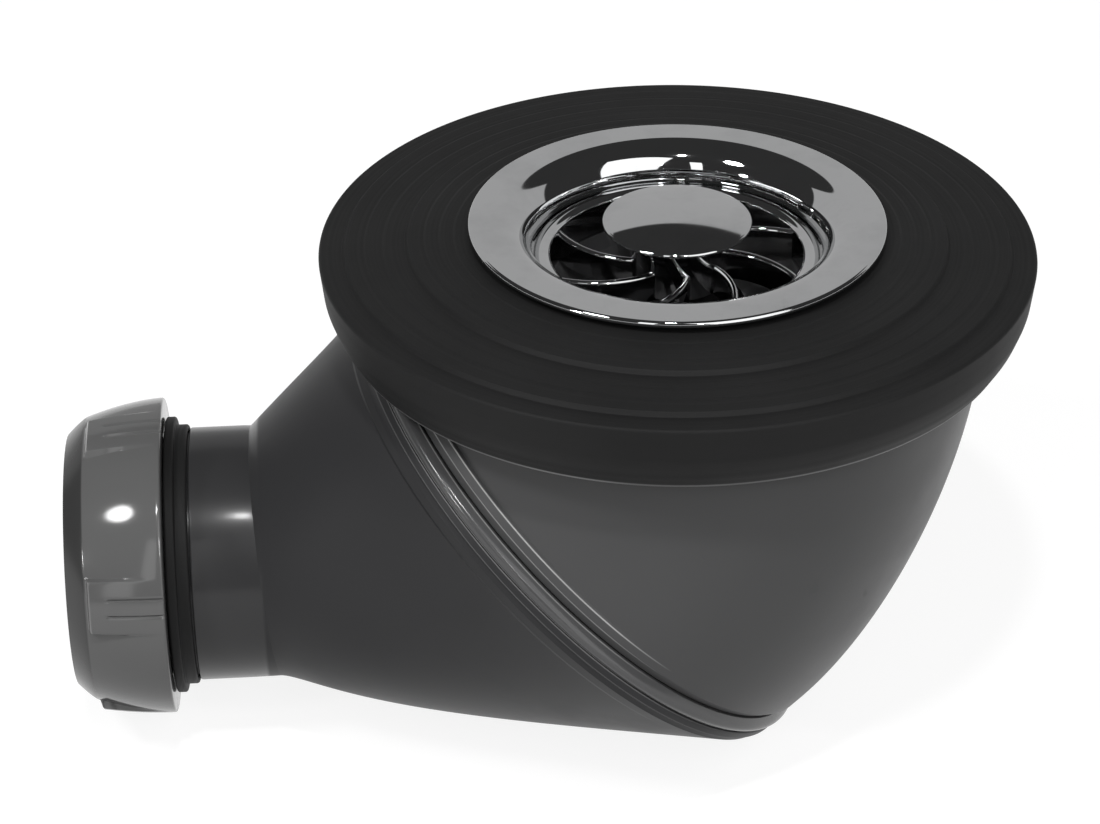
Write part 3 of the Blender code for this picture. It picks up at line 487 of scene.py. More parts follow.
def chromeMaterial(look):
    # Bright plate over a polished casting: haze patches raise the roughness and dull the tone a little, a faint long
    # ripple stands for the polished metal below, and deep in the throat the tone is darkened as painted shade and the
    # roughness raised.
    material, tree, shader, place = startMaterial("polishedChrome")
    scales = {"Patch Scale": look["patchScale"], "Scratch Scale": look["scratchScale"]}
    marks = useGroup(tree, handlingMarks, place, scales)
    ripple = useGroup(tree, mouldedGrain, place, {"Grain Scale": look["rippleScale"]})
    # painted shade: the plate's colour darkens deep in the throat
    throatShade = addRange(tree, addAlong(tree, place, (0, 0, 1)), look["deepEnd"], look["deepStart"], 1.0, 0.0)
    colour = addColourMix(tree, marks["Patches"], look["tone"], look["hazeTone"])
    rough = addMath(
        tree, "ADD", addSpan(tree, marks["Patches"], look["roughness"], look["hazeRoughness"]),
        addSpan(tree, throatShade, 0.0, look["deepRoughness"]),
        addSpan(tree, marks["Scratches"], 0.0, look["scratchRoughness"]))
    feed(tree, shader, {
        "Base Color": addColourMix(tree, throatShade, colour, look["throatShadeTone"]), "Roughness": rough, "Metallic": 1.0,
        "Normal": addBump(tree, ripple["Height"], look["rippleStrength"], look["rippleDepth"])})
    return material


polishedChrome = chromeMaterial(chromeLook)
print("finishes built")

flangeSizes = {
    "radius": 0.0396, "top": -0.0025, "under": -0.0012, "lipRound": 0.0065, "lipSteps": 25, "throatRadius": 0.0275,
    "seat": 0.0055, "boreRadius": 0.0258, "insertSeat": 0.0178, "ledgeRadius": 0.0236, "skirtEnd": 0.0210,
    "skirtRadius": 0.0297, "chamferStart": 0.0010, "chamferRadius": 0.0325, "segments": 320}


def buildFlange(s):
    # One closed profile about the drain axis: flat rim, quarter-round lip, throat, bore and a
    # skirt that is chamfered under the lip.
    lipTurn = np.radians(np.linspace(90, 180, s["lipSteps"]))
    lipAlong = s["top"] + s["lipRound"] - s["lipRound"] * np.sin(lipTurn)
    lipRadius = s["throatRadius"] + s["lipRound"] + s["lipRound"] * np.cos(lipTurn)
    profile = [(s["under"], s["chamferRadius"], small), (s["under"], s["radius"], full), (s["top"], s["radius"], full)]
    profile += list(zip(lipAlong, lipRadius))
    profile += [(s["seat"], s["throatRadius"]), (s["seat"], s["boreRadius"]), (s["insertSeat"], s["boreRadius"]),
                (s["insertSeat"], s["ledgeRadius"], small), (s["skirtEnd"], s["ledgeRadius"], small),
                (s["skirtEnd"], s["skirtRadius"], soft), (s["chamferStart"], s["skirtRadius"], small)]
    shell = turnedShell(drainAxis, profile, s["segments"], steps=6)
    makePiece("flangeSkin", [shell], polishedChrome, "trap", "waste_flange")


buildFlange(flangeSizes)

strainerSizes = {
    "radius": 0.0272, "top": 0.0040, "ringThickness": 0.0012, "crest": 0.0009, "crestSteps": 25, "basketRadius": 0.0253,
    "wall": 0.0013, "end": 0.0109, "ringSegments": 256, "hubSegments": 96,
    "hubRadius": 0.0088, "hubTop": -0.0010, "boreRadius": 0.0029, "boreEnd": 0.0060, "boreTip": 0.0006,
    "vanes": 8, "vaneThickness": 0.0014, "vaneTop": 0.0051, "vaneSweep": -44.0, "vanePhase": 16.0, "vaneSteps": 33,
    "vaneTopSteps": 9}


def vaneShell(s, turn):
    # A blade along a swept line: plan angle = phase + sweep * share of the radius from hub to
    # wall. Its section is a tall rectangle whose top edge is a half round.
    share = np.linspace(0, 1, s["vaneSteps"])
    first, last = s["hubRadius"] / 2, s["basketRadius"] - s["wall"] / 2
    radius = first + (last - first) * share
    angle = np.radians(s["vanePhase"] + s["vaneSweep"] * share) + turn
    line = np.stack([radius * np.cos(angle), radius * np.sin(angle)], axis=1)
    along = np.gradient(line, axis=0)
    along /= np.linalg.norm(along, axis=1)[:, None]
    square = np.stack([-along[:, 1], along[:, 0]], axis=1)
    half = s["vaneThickness"] / 2
    cap = np.radians(np.linspace(0, 180, s["vaneTopSteps"]))
    across = np.concatenate([half * np.cos(cap), [-half, half]])
    height = np.concatenate([-s["vaneTop"] - half + half * np.sin(cap), [-s["end"], -s["end"]]])
    xy = line[:, None, :] + square[:, None, :] * across[None, :, None]
    z = np.broadcast_to(height[None, :, None], xy.shape[:2] + (1,))
    return shellArrays(np.concatenate([xy, z], axis=2), poles=True)


def buildStrainer(s):
    # Seat ring with a rounded crest over a short basket wall, the vanes, and a bored hub. The
    # crest falls by crest * (1 - sqrt(1 - across^2)) over its half width.
    inner = s["basketRadius"] - s["wall"]
    under = s["top"] + s["ringThickness"]
    across = np.cos(np.radians(np.linspace(0, 180, s["crestSteps"])))
    crestAlong = s["top"] + s["crest"] * (1 - np.sqrt(1 - across ** 2))
    crestRadius = (s["radius"] + inner) / 2 + (s["radius"] - inner) / 2 * across
    ring = list(zip(crestAlong, crestRadius))
    ring += [(s["end"], inner, fine), (s["end"], s["basketRadius"], fine), (under, s["basketRadius"], crisp),
             (under, s["radius"], fine)]
    hub = [(s["hubTop"], s["boreRadius"], small), (s["hubTop"], s["hubRadius"], full), (s["end"], s["hubRadius"], soft),
           (s["end"], s["boreTip"]), (s["boreEnd"], s["boreTip"]), (s["boreEnd"], s["boreRadius"])]
    shells = [turnedShell(drainAxis, ring, s["ringSegments"], steps=7),
              turnedShell(drainAxis, hub, s["hubSegments"], steps=5)]
    shells += [vaneShell(s, 2 * math.pi * i / s["vanes"]) for i in range(s["vanes"])]
    makePiece("strainerSkin", shells, polishedChrome, "trap", "strainer_frame")


buildStrainer(strainerSizes)

capSizes = {
    "radius": 0.0142, "under": -0.0013, "edge": 0.0010, "edgeSteps": 13, "crown": 0.00152, "crownSteps": 40,
    "shell": 0.0012, "stemRadius": 0.0026, "stemEnd": 0.0057, "hubRadius": 0.0070, "stemTip": 0.0001,
    "crownTip": 0.00005, "segments": 192}


def buildCap(s):
    # Dome height = crown * (1 - (r / R)^2) above a half-round edge, hollow below, on a stem.
    edge = s["edge"] / 2
    turn = np.radians(np.linspace(-90, 90, s["edgeSteps"]))
    rim = [(s["under"] - edge - edge * math.sin(t), s["radius"] - edge + edge * math.cos(t)) for t in turn]
    share = np.linspace(1, 0, s["crownSteps"])[1:-1]
    base = s["under"] - s["edge"]
    hollow = s["under"] - s["crown"] / 2
    dome = [(base - s["crown"] * (1 - q * q), (s["radius"] - edge) * q) for q in share]
    dome += [(base - s["crown"], s["crownTip"])]
    under = [(s["stemEnd"], s["stemTip"]), (s["stemEnd"], s["stemRadius"], small), (hollow, s["stemRadius"], small),
             (hollow, s["hubRadius"], fine), (s["under"], s["radius"] - s["edge"] - s["shell"], fine)]
    rings = turnedRings(drainAxis, roundCorners(under + rim + dome, closed=False))
    shell = shellArrays(ringLoops(rings, s["segments"]), poles=True)
    makePiece("capSkin", [shell], polishedChrome, "trap", "strainer_cap")


buildCap(capSizes)
print("flange, strainer and cap built")

washerSizes = {
    "boreRadius": 0.0303, "radius": 0.0680, "fall": 0.0026, "riserFall": 0.0009, "riserRun": 0.0006, "ribRun": 0.0005,
    "innerRibs": (0.0420, 0.0447, 0.0476), "innerRiser": 0.0510, "outerRibs": (0.0553, 0.0589), "outerRiser": 0.0629,
    "edgeRound": 0.0007, "sideRound": 0.006, "shoulderDrop": 0.0070, "shoulderRadius": 0.0672, "footRadius": 0.0638,
    "bulge": 0.0004, "end": 0.0170, "footRound": 0.0010, "lipRadius": 0.0595, "rimSeat": 0.0111, "rimRadius": 0.0633,
    "plateUnder": 0.0065, "segments": 360}


def buildWasher(s):
    # The top steps down from the crown to the edge in ribs and two risers; the side leans in to
    # the foot, and the foot hooks under the deck's rim. Fall of a rib = what the risers leave of
    # the whole fall / number of ribs.
    ribFall = (s["fall"] - 2 * s["riserFall"]) / (len(s["innerRibs"]) + len(s["outerRibs"]))
    rib = (s["ribRun"], ribFall, full, full)
    riser = (s["riserRun"], s["riserFall"], wide, soft)
    steps = [(r, *rib) for r in s["innerRibs"]] + [(s["innerRiser"], *riser)]
    steps += [(r, *rib) for r in s["outerRibs"]] + [(s["outerRiser"], *riser)]
    profile, level = [(0.0, s["boreRadius"], small)], 0.0
    for radius, run, fall, above, below in steps:
        profile.append((level, radius, above))
        level += fall
        profile.append((level, radius + run, below))
    middle = (s["shoulderRadius"] + s["footRadius"]) / 2 + s["bulge"]
    shoulder = s["fall"] + s["shoulderDrop"]
    profile += [(s["fall"], s["radius"], s["edgeRound"]), (shoulder, s["shoulderRadius"], s["sideRound"]),
                ((shoulder + s["end"]) / 2, middle, s["sideRound"]),
                (s["end"] - s["footRound"] / 2, s["footRadius"] + s["footRound"] / 4, full),
                (s["end"], s["footRadius"] - s["footRound"] / 2, soft), (s["end"], s["lipRadius"], soft),
                (s["rimSeat"], s["lipRadius"], small), (s["rimSeat"], s["rimRadius"], fine),
                (s["plateUnder"], s["rimRadius"], fine), (s["plateUnder"], s["boreRadius"], small)]
    shell = turnedShell(drainAxis, profile, s["segments"], steps=6)
    makePiece("washerSkin", [shell], washerRubber, "trap", "tray_washer")


buildWasher(washerSizes)
print("tray washer built")

upperSizes = {
    "deckRadius": 0.0630, "deckTop": 0.0068, "deckEnd": 0.0108, "deckRound": 0.0010, "neckRadius": 0.0300,
    "neckWall": 0.0030, "neckEnd": 0.0220, "bodyRadius": 0.0592, "wall": 0.0028, "straightEnd": 0.0124,
    "upperBulge": 0.0306, "lowerBulge": 0.0240, "rimRadius": 0.0580, "rimDepth": 0.0036, "rimRun": 0.0004,
    "rimRound": 0.00015, "rimBandEnd": 0.0019, "rimEdge": 0.0570, "rimHeight": 0.0009, "edgeRun": 0.0002,
    "edgeDrop": 0.0003, "grooveRadius": 0.0519, "flangeRadius": 0.0542, "flangeStart": 0.0022, "flangeEnd": 0.0042,
    "spigotRadius": 0.0509, "sealFloor": 0.0484, "sealStart": 0.0055, "sealEnd": 0.0083, "spigotEnd": 0.0093,
    "boreRadius": 0.0466, "sections": 72, "segments": 288}


def swungSections(nearStart, nearEnd, farStart, farHandle, endHandle, farEnd, steps, inset):
    # Near points run straight: start * (1 - t) + end * t. Far points follow the cubic Bezier
    # curve of the four points. The inset grows with t.
    t = np.linspace(0, 1, steps)[:, None]
    near = nearStart * (1 - t) + nearEnd * t
    far = farStart * (1 - t) ** 3 + 3 * farHandle * t * (1 - t) ** 2
    far = far + 3 * endHandle * t ** 2 * (1 - t) + farEnd * t ** 3
    return ringsBetween(near, far, inset * t[:, 0])


def pairAcross(axis, along, radius):  # near and far (x, z): origin + heading * along -/+ side * radius
    origin, heading, side = axis
    return [(origin + heading * along + side * out)[[0, 2]] for out in (-radius, radius)]


def narrowed(rings, wall):  # the same rings with radius - wall
    rings = rings.copy()
    rings[:, 4] -= wall
    return rings


def openRings(axis, profile, steps=4):  # rings of a profile whose first and last points stay open
    return turnedRings(axis, roundCorners(profile, steps, closed=False))


def buildUpperBody(s):
    # Deck and neck about the drain axis, the swung shell, then rim and spigot about the swivel
    # axis, and back up inside by the wall.
    down = drainAxis[1][[0, 2]]
    along = swivelAxis[1][[0, 2]]
    nearStart, farStart = pairAcross(drainAxis, s["straightEnd"], s["bodyRadius"])
    nearEnd, farEnd = pairAcross(swivelAxis, -(s["rimDepth"] + s["rimRun"]), s["rimRadius"])
    sections = swungSections(nearStart, nearEnd, farStart, farStart + down * s["upperBulge"],
                             farEnd - along * s["lowerBulge"], farEnd, s["sections"], s["rimHeight"])
    top = [(s["neckEnd"], s["neckRadius"]), (s["deckTop"], s["neckRadius"], soft),
           (s["deckTop"], s["deckRadius"], s["deckRound"]), (s["deckEnd"], s["deckRadius"], s["deckRound"]),
           (s["deckEnd"], s["bodyRadius"], fine), (s["straightEnd"] - s["edgeRun"], s["bodyRadius"])]
    joint = [(-s["rimDepth"], s["rimRadius"], s["rimRound"]), (-s["rimBandEnd"], s["rimRadius"], wide),
             (-s["edgeRun"], s["rimEdge"], fine), (0.0, s["rimEdge"] - s["edgeDrop"]),
             (0.0, s["grooveRadius"]), (s["flangeStart"], s["grooveRadius"]),
             (s["flangeStart"], s["flangeRadius"], fine), (s["flangeEnd"], s["flangeRadius"], soft),
             (s["flangeEnd"], s["spigotRadius"]), (s["sealStart"], s["spigotRadius"], crisp),
             (s["sealStart"], s["sealFloor"]), (s["sealEnd"], s["sealFloor"]),
             (s["sealEnd"], s["spigotRadius"], crisp), (s["spigotEnd"], s["spigotRadius"], soft),
             (s["spigotEnd"], s["boreRadius"], soft), (0.0, s["boreRadius"])]
    neckOuter = s["neckRadius"] + s["neckWall"]
    inside = [(s["deckEnd"], s["bodyRadius"] - s["wall"], full), (s["deckEnd"], neckOuter, full),
              (s["neckEnd"], neckOuter)]
    innerWall = narrowed(sections[-8::-6], s["wall"])  # every sixth section, back up from the joint
    rings = np.concatenate([
        openRings(drainAxis, top, steps=5), sections, openRings(swivelAxis, joint), innerWall,
        openRings(drainAxis, inside, steps=3)])
    shell = shellArrays(ringLoops(rings, s["segments"]))
    makePiece("upperBodySkin", [shell], upperPlastic, "trap", "upper_body", sharp=30)


buildUpperBody(upperSizes)
print("upper body built")

ringSizes = {
    "start": 0.0003, "lipRadius": 0.0522, "startRadius": 0.0572, "beadRadius": 0.0586, "beadSteps": 30, "end": 0.0034,
    "endRadius": 0.0580, "barrelRadius": 0.0563, "lipEnd": 0.0019, "segments": 320}


def buildSwivelRing(s):
    # The bead's radius runs straight from its start to its end and swells between by a half sine.
    t = np.linspace(0, 1, s["beadSteps"])
    along = s["start"] + (s["end"] - s["start"]) * t
    swell = s["beadRadius"] - (s["startRadius"] + s["endRadius"]) / 2
    radius = s["startRadius"] + (s["endRadius"] - s["startRadius"]) * t + swell * np.sin(np.pi * t)
    profile = [(s["start"], s["lipRadius"], fine)] + list(zip(along, radius))
    profile += [(s["end"], s["barrelRadius"]), (s["lipEnd"], s["barrelRadius"]), (s["lipEnd"], s["lipRadius"], fine)]
    shell = turnedShell(swivelAxis, profile, s["segments"])
    makePiece("swivelRingSkin", [shell], ringPlastic, "outlet", "swivel_ring")


buildSwivelRing(ringSizes)

lowerSizes = {
    "tongueStart": 0.0022, "tongueInner": 0.0545, "tongueOuter": 0.0560, "collarStart": 0.0035, "collarEnd": 0.0052,
    "collarRadius": 0.0583, "stepRun": 0.0001, "stepRadius": 0.0579, "shellStart": 0.0066, "shellGap": 0.00005,
    "shellRadius": 0.0576, "fall": 2.57, "bulge": 0.0763, "heelBulge": 0.0071, "mouthX": -0.0810, "lean": 5.4,
    "outletRadius": 0.0250, "wall": 0.0028, "spigotStart": 0.0032, "shoulder": 0.0950, "threadRadius": 0.0240,
    "threadEnd": 0.1123, "boreRadius": 0.0219, "chamfer": 0.0015, "stopAt": 0.0880, "stopRadius": 0.0202,
    "socketEnd": 0.0097, "socketRadius": 0.0512, "seat": 0.0045, "threadPitch": 0.0023, "threadDepth": 0.0008,
    "threadFirst": 0.0016, "threadLast": 0.0012, "sections": 72, "segments": 288}


def threadTurns(places, crest, root, step):  # a ridge at each place and a valley half a pitch on
    turns = []
    for place in places:
        turns += [(place, crest, fine), (place + step, root, fine)]
    return turns


def buildLowerBody(s):
    # Tongue and collar about the swivel axis, the swung shell, the outlet spigot along -X, and
    # back inside by the wall. The far curve leaves the joint at the fall angle.
    lean = axisFrom(s["mouthX"], outletLevel, 90 - s["lean"])
    out = outletAxis[1][[0, 2]]
    fall = math.radians(s["fall"])
    nearStart, farStart = pairAcross(swivelAxis, s["shellStart"], s["shellRadius"])
    nearEnd, farEnd = pairAcross(lean, 0.0, s["outletRadius"])
    farHandle = farStart + np.array([-math.cos(fall), -math.sin(fall)]) * s["bulge"]
    sections = swungSections(nearStart, nearEnd, farStart, farHandle, farEnd - out * s["heelBulge"], farEnd,
                             s["sections"], 0.0)
    joint = [(s["tongueStart"], s["tongueInner"]), (s["tongueStart"], s["tongueOuter"], small),
             (s["collarStart"], s["tongueOuter"]), (s["collarStart"], s["collarRadius"], small),
             (s["collarEnd"], s["collarRadius"], small), (s["collarEnd"] + s["stepRun"], s["stepRadius"], crisp),
             (s["shellStart"] - s["shellGap"], s["shellRadius"])]
    places = np.arange(s["shoulder"] + s["threadFirst"], s["threadEnd"] - s["threadLast"], s["threadPitch"])
    spigot = [(s["spigotStart"] - s["mouthX"], s["outletRadius"]), (s["shoulder"], s["outletRadius"], soft),
              (s["shoulder"], s["threadRadius"])]
    spigot += threadTurns(places, s["threadRadius"], s["threadRadius"] - s["threadDepth"], s["threadPitch"] * 0.5)
    spigot += [(s["threadEnd"], s["threadRadius"], wide), (s["threadEnd"], s["boreRadius"] + s["chamfer"], fine),
               (s["threadEnd"] - s["chamfer"], s["boreRadius"], soft), (s["stopAt"], s["boreRadius"]),
               (s["stopAt"], s["stopRadius"], soft)]
    stop = sections[-1:].copy()
    stop[:, 4] = s["stopRadius"]
    socket = [(s["socketEnd"], s["socketRadius"]), (s["seat"], s["socketRadius"], fine), (s["seat"], s["tongueInner"])]
    innerWall = narrowed(sections[-8:7:-5], s["wall"])  # every fifth section, back from the outlet
    jointRings = openRings(swivelAxis, joint)
    bend = (len(jointRings) + len(sections) - 1) * s["segments"]  # first vertex where shell and spigot meet
    rings = np.concatenate([
        jointRings, sections, openRings(outletAxis, spigot), stop, innerWall, openRings(swivelAxis, socket, steps=3)])
    shell = shellArrays(ringLoops(rings, s["segments"]))
    makePiece("lowerBodySkin", [shell], lowerPlastic, "outlet", "lower_body", sharp=24,
              crease=(bend, bend + s["segments"] - 1))


buildLowerBody(lowerSizes)
print("swivel ring and lower body built")

nutSizes = {
    "back": 0.0999, "length": 0.0190, "radius": 0.0312, "backRound": 0.0005, "domeFall": 0.0046, "domePower": 1.7,
    "edgeShare": 0.79, "noseFall": 0.0033, "nosePower": 1.25,
    "lugs": 5, "lugWidth": 0.0107, "lugFall": 0.0022, "lugRun": 0.0007, "lugAngle": -105.0, "lugStop": (0.045, 0.005),
    "groovePitch": 0.0034, "grooveWidth": 0.0006, "grooveDepth": 0.0005, "grooveEnd": 0.0116, "grooveRun": 0.0015,
    "boreRadius": 0.0243, "throatRadius": 0.0224, "throatRun": 0.0008, "mouthRadius": 0.0243, "mouthEdge": 0.0005,
    "backEdge": 0.002, "lip": 0.0035, "threadPitch": 0.0023, "threadDepth": 0.0007, "threadEnds": 0.0016,
    "stations": ((0.0, 0.02, 6), (0.05, 0.55, 20), (0.57, 0.79, 20), (0.794, 1.0, 20)), "segments": 720}


def smoothStep(low, high, value):  # t * t * (3 - 2 * t), where t is 0 at low and 1 at high
    t = np.clip((value - low) / (high - low), 0, 1)
    return t * t * (3 - 2 * t)


def buildNut(s):
    # Radius = back radius - dome * share^power up to a crisp edge, in front of which a cone runs
    # in to the mouth. On a lug it stays out at radius - lugFall * share^2, with soft walls, to
    # just short of the edge, and two V grooves run from the back.
    edge = s["edgeShare"]
    along = (np.concatenate([np.linspace(*part) for part in s["stations"]]) * s["length"])[:, None]
    turn = np.linspace(0, 2 * np.pi, s["segments"], endpoint=False)
    pitch = 2 * np.pi / s["lugs"]
    offset = (np.mod(turn - math.radians(s["lugAngle"]) + pitch / 2, pitch) - pitch / 2) * s["radius"]
    beside = np.abs(offset)[None, :]
    q = along / s["length"]
    nose = s["noseFall"] * np.clip((q - edge) / (1 - edge), 0, 1) ** s["nosePower"]
    dome = s["radius"] - s["domeFall"] * np.minimum(q, edge) ** s["domePower"] - nose
    fromBack = np.clip(1 - along / s["backRound"], 0, 1)
    dome = dome - s["backRound"] * (1 - np.sqrt(np.clip(1 - fromBack ** 2, 0, 1)))
    lug = s["radius"] - s["lugFall"] * q ** 2
    onLug = 1 - smoothStep(s["lugWidth"] / 2, s["lugWidth"] / 2 + s["lugRun"], beside)
    onLug = onLug * (1 - smoothStep(edge - s["lugStop"][0], edge - s["lugStop"][1], q))
    radius = dome + np.clip(lug - dome, 0, None) * onLug * (along > s["backRound"])
    groove = np.clip(1 - np.abs(beside - s["groovePitch"] / 2) / (s["grooveWidth"] / 2), 0, 1)
    groove = groove * (1 - smoothStep(s["grooveEnd"] - s["grooveRun"], s["grooveEnd"], along))
    radius = radius - s["grooveDepth"] * groove
    depth = s["length"] - s["lip"]
    root = s["boreRadius"] + s["threadDepth"]
    inside = [(s["length"], s["mouthRadius"] + s["mouthEdge"]), (s["length"], s["mouthRadius"], soft),
              (depth + s["throatRun"], s["throatRadius"], small), (depth, s["throatRadius"], fine), (depth, root)]
    places = np.arange(depth - s["threadEnds"], s["threadEnds"], -s["threadPitch"])
    inside += threadTurns(places, s["boreRadius"], root, -s["threadPitch"] * 0.5)
    inside += [(0.0, root, small), (0.0, s["boreRadius"] + s["backEdge"])]
    inner = roundCorners(inside, steps=3, closed=False)
    allAlong = np.concatenate([along, inner[:, :1]])
    allRadius = np.concatenate([radius, np.broadcast_to(inner[:, 1:], (len(inner), len(turn)))])
    x = np.broadcast_to(-(s["back"] + allAlong), allRadius.shape)
    loops = np.stack([x, allRadius * np.sin(turn), outletLevel - allRadius * np.cos(turn)], axis=2)
    makePiece("nutSkin", [shellArrays(loops)], nutPlastic, "outlet", "outlet_nut", sharp=40)


buildNut(nutSizes)

backingSizes = {
    "start": 0.0953, "step": 0.0977, "end": 0.0996, "inner": 0.0243, "lowRadius": 0.0257, "tallRadius": 0.0273,
    "segments": 240}


def buildBackingRing(s):
    # A low ring and a taller one in front of it, in one closed profile about the outlet axis.
    profile = [(s["start"], s["inner"], fine), (s["start"], s["lowRadius"], wide), (s["step"], s["lowRadius"], fine),
               (s["step"], s["tallRadius"], soft), (s["end"], s["tallRadius"], soft), (s["end"], s["inner"], fine)]
    shell = turnedShell(outletAxis, profile, s["segments"], steps=5)
    makePiece("backingRingSkin", [shell], washerRubber, "outlet", "nut_backing_ring")


buildBackingRing(backingSizes)

sealSizes = {
    "tip": 0.1114, "mouth": 0.1123, "shoulder": 0.1126, "back": 0.1140, "inner": 0.0217, "tipRadius": 0.0222,
    "mouthRadius": 0.0231, "outer": 0.0240, "segments": 200}


def buildOutletSeal(s):
    # A cone that enters the spigot's mouth, and a flat ring that the nut presses on it.
    profile = [(s["tip"], s["inner"]), (s["tip"], s["tipRadius"]), (s["mouth"], s["mouthRadius"]),
               (s["shoulder"], s["mouthRadius"]), (s["shoulder"], s["outer"], fine), (s["back"], s["outer"], small),
               (s["back"], s["inner"], wide)]
    shell = turnedShell(outletAxis, profile, s["segments"])
    makePiece("outletSealSkin", [shell], sealRubber, "outlet", "outlet_seal")


buildOutletSeal(sealSizes)
print("nut, backing ring and seal built")

keptFinishes = {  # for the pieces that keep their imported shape
    "dip_tube": blackPlastic, "inner_cup": blackPlastic, "slip_ring": blackPlastic, "dip_tube_seal": sealRubber,
    "swivel_seal": sealRubber, "flange_gasket": sealRubber}
for nodeName, finish in keptFinishes.items():
    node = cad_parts[nodeName]
    node.data.materials.clear()
    node.data.materials.append(finish)
print("kept nodes finished")

stageLook = {
    "floorTone": 0.18, "floorShown": 0.24, "floorGlow": 0.85, "floorRadius": 4.0, "floorDrop": 0.0002, "floorSides": 96,
    "wall": 0.50, "dark": 0.040, "wallTop": 0.592, "topBlend": 0.005, "wallWay": (0.139, 0.990, 0.0), "wallSide": 0.45,
    "sideBlend": 0.01}


def addFloor(look):
    # Plain pale floor. The camera and mirrors see a thin diffuse white over a glow, so it is
    # white but keeps the shadow; all other rays meet the plain tone.
    material = bpy.data.materials.new("paleFloor")
    material.use_nodes = True
    tree = material.node_tree
    tree.nodes.clear()
    path = addNode(tree, "ShaderNodeLightPath", {}).outputs
    mirrored = addMath(tree, "MAXIMUM", path["Is Glossy Ray"], path["Is Transmission Ray"])
    seen = addMath(tree, "MAXIMUM", path["Is Camera Ray"], mirrored)
    plain, thin = (addNode(tree, "ShaderNodeBsdfDiffuse", {"Color": (look[tone],) * 3 + (1,)})
                   for tone in ("floorTone", "floorShown"))
    glow = addNode(tree, "ShaderNodeEmission", {"Strength": look["floorGlow"]})
    both = addNode(tree, "ShaderNodeAddShader", {0: thin.outputs[0], 1: glow.outputs[0]})
    mix = addNode(tree, "ShaderNodeMixShader", {0: seen, 1: plain.outputs[0], 2: both.outputs[0]})
    addNode(tree, "ShaderNodeOutputMaterial", {"Surface": mix.outputs[0]})
    turn = np.linspace(0, 2 * np.pi, look["floorSides"], endpoint=False)
    level = np.full(len(turn), cadBox[0][2] - look["floorDrop"])
    ring = np.stack([np.cos(turn) * look["floorRadius"], np.sin(turn) * look["floorRadius"], level], axis=1)
    mesh = bpy.data.meshes.new("floor")
    mesh.from_pydata(ring.tolist(), [], [list(range(len(turn)))])
    mesh.materials.append(material)
    floor = addObject("floor", mesh)


def addWorld(look):
    # A grey wall stands behind the object up to about 36 degrees; all other directions are dark.
    world = bpy.data.worlds.new("studioWorld")
    bpy.context.scene.world = world
    world.use_nodes = True
    tree = world.node_tree
    way = addNode(tree, "ShaderNodeTexCoord", {}).outputs["Generated"]
    height = addNode(tree, "ShaderNodeSeparateXYZ", {0: way}).outputs["Z"]
    top, side = look["wallTop"], look["wallSide"]
    below = addRange(tree, height, top - look["topBlend"], top + look["topBlend"], 1.0, 0.0)
    behind = addRange(tree, addAlong(tree, way, look["wallWay"]), side - look["sideBlend"], side + look["sideBlend"])
    tone = addSpan(tree, addMath(tree, "MULTIPLY", below, behind), look["dark"], look["wall"])
    feed(tree, tree.nodes["Background"], {"Color": tone})


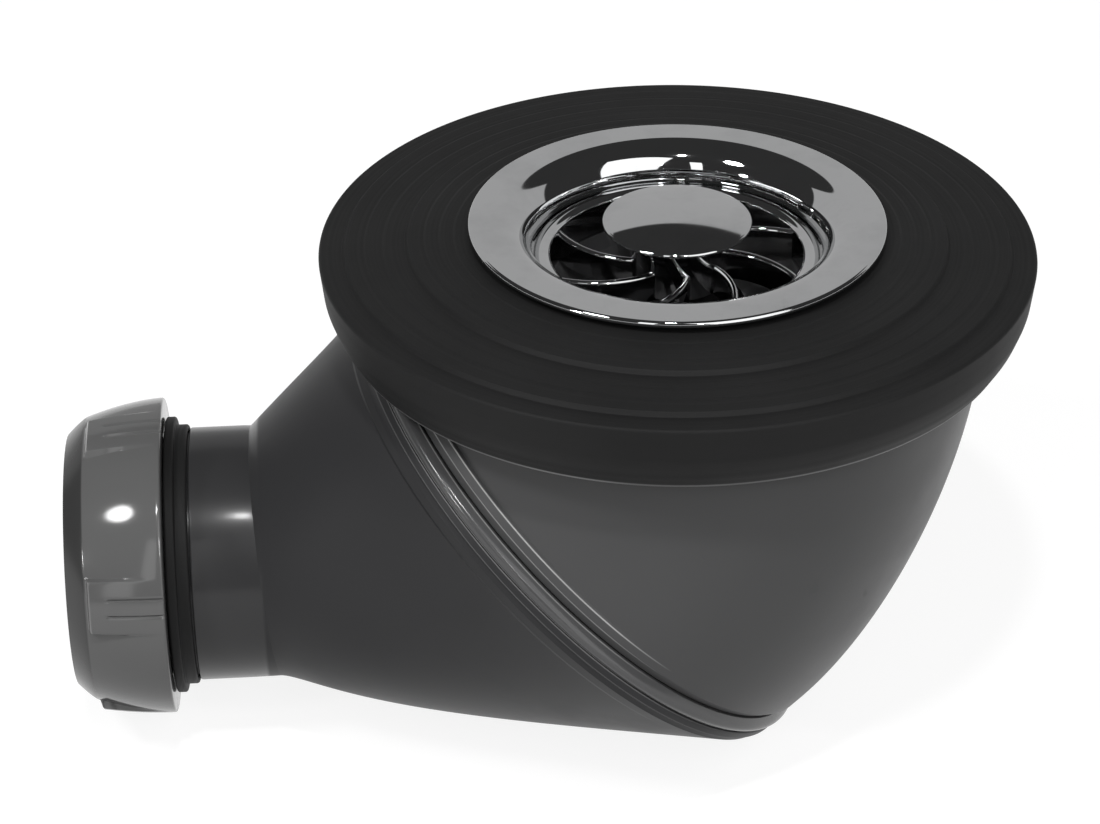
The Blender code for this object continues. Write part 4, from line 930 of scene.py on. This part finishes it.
lampAim = (-0.02, 0.0, -0.04)
lampTable = {  # direction from the object, long way, distance, length, width, radiance, shape, shows in gloss
    "frontBox": ((0.485, -0.747, 0.454), (0, 0, 1), 1.10, 1.40, 0.86, 1.70, "RECTANGLE", True),
    "stripBox": ((-0.317, -0.871, 0.375), (0, 0, 1), 1.10, 0.80, 0.16, 1.7, "RECTANGLE", True),
    "beadLamp": ((0.123, -0.778, 0.616), (0, 0, 1), 1.10, 0.26, 0.04, 30.0, "RECTANGLE", True),
    "nutLamp": ((-0.53, -0.34, 0.79), (0, 0, 1), 1.10, 0.21, 0.21, 36.0, "ELLIPSE", True),
    "pipeLamp": ((-0.06, -0.42, 0.905), (0, 0, 1), 1.10, 0.07, 0.07, 300.0, "ELLIPSE", True),
    "sideLamp": ((-0.80, -0.51, 0.31), (0, 0, 1), 1.10, 0.12, 0.12, 70.0, "ELLIPSE", True),
    "skyFill": ((0.0, -0.45, 0.90), (1, 0, 0), 1.30, 1.60, 1.60, 0.35, "RECTANGLE", False)}


def standAt(right, up, back, spot):  # matrix with these directions and this place as its columns
    return Matrix((*zip(right, up, back, spot), (0, 0, 0, 1)))


def addLamps(table, aim):
    # An area lamp of radiance L and area A has the power pi * L * A; it shines along its -Z.
    for name, (direction, longWay, distance, length, width, radiance, shape, glossy) in table.items():
        data = bpy.data.lights.new(name, "AREA")
        data.shape = shape
        data.size, data.size_y = length, width
        data.energy = math.pi * radiance * length * width * (math.pi / 4 if shape == "ELLIPSE" else 1)
        way = Vector(direction).normalized()
        side = Vector(longWay)
        side = (side - way * side.dot(way)).normalized()
        lamp = addObject(name, data)
        lamp.matrix_world = standAt(side, way.cross(side), way, Vector(aim) + way * distance)
        lamp.visible_glossy = glossy


cameraPlace = {
    "aim": (-0.0244, 0.0, -0.0393), "azimuth": 3.8, "elevation": 31.65, "roll": -0.52, "distance": 0.650,
    "lens": 109.08, "sensor": 36.0, "nearest": 0.01}


def addCamera(place):
    # Looks along azimuth and elevation at the aim; the roll turns right and up about that line.
    az, el, roll = (math.radians(place[k]) for k in ("azimuth", "elevation", "roll"))
    forward = Vector((math.sin(az) * math.cos(el), math.cos(az) * math.cos(el), -math.sin(el)))
    right = Vector((math.cos(az), -math.sin(az), 0))
    up = right.cross(forward)
    turnedRight = right * math.cos(roll) + up * math.sin(roll)
    turnedUp = up * math.cos(roll) - right * math.sin(roll)
    data = bpy.data.cameras.new("photoCamera")
    data.lens = place["lens"]
    data.sensor_width = place["sensor"]
    data.sensor_fit = "HORIZONTAL"
    data.clip_start = place["nearest"]
    camera = addObject("photoCamera", data)
    camera.matrix_world = standAt(turnedRight, turnedUp, -forward, Vector(place["aim"]) - forward * place["distance"])
    bpy.context.scene.camera = camera


addFloor(stageLook)
addWorld(stageLook)
addLamps(lampTable, lampAim)
addCamera(cameraPlace)
bpy.context.scene.view_settings.view_transform = "Standard"
print("stage built")
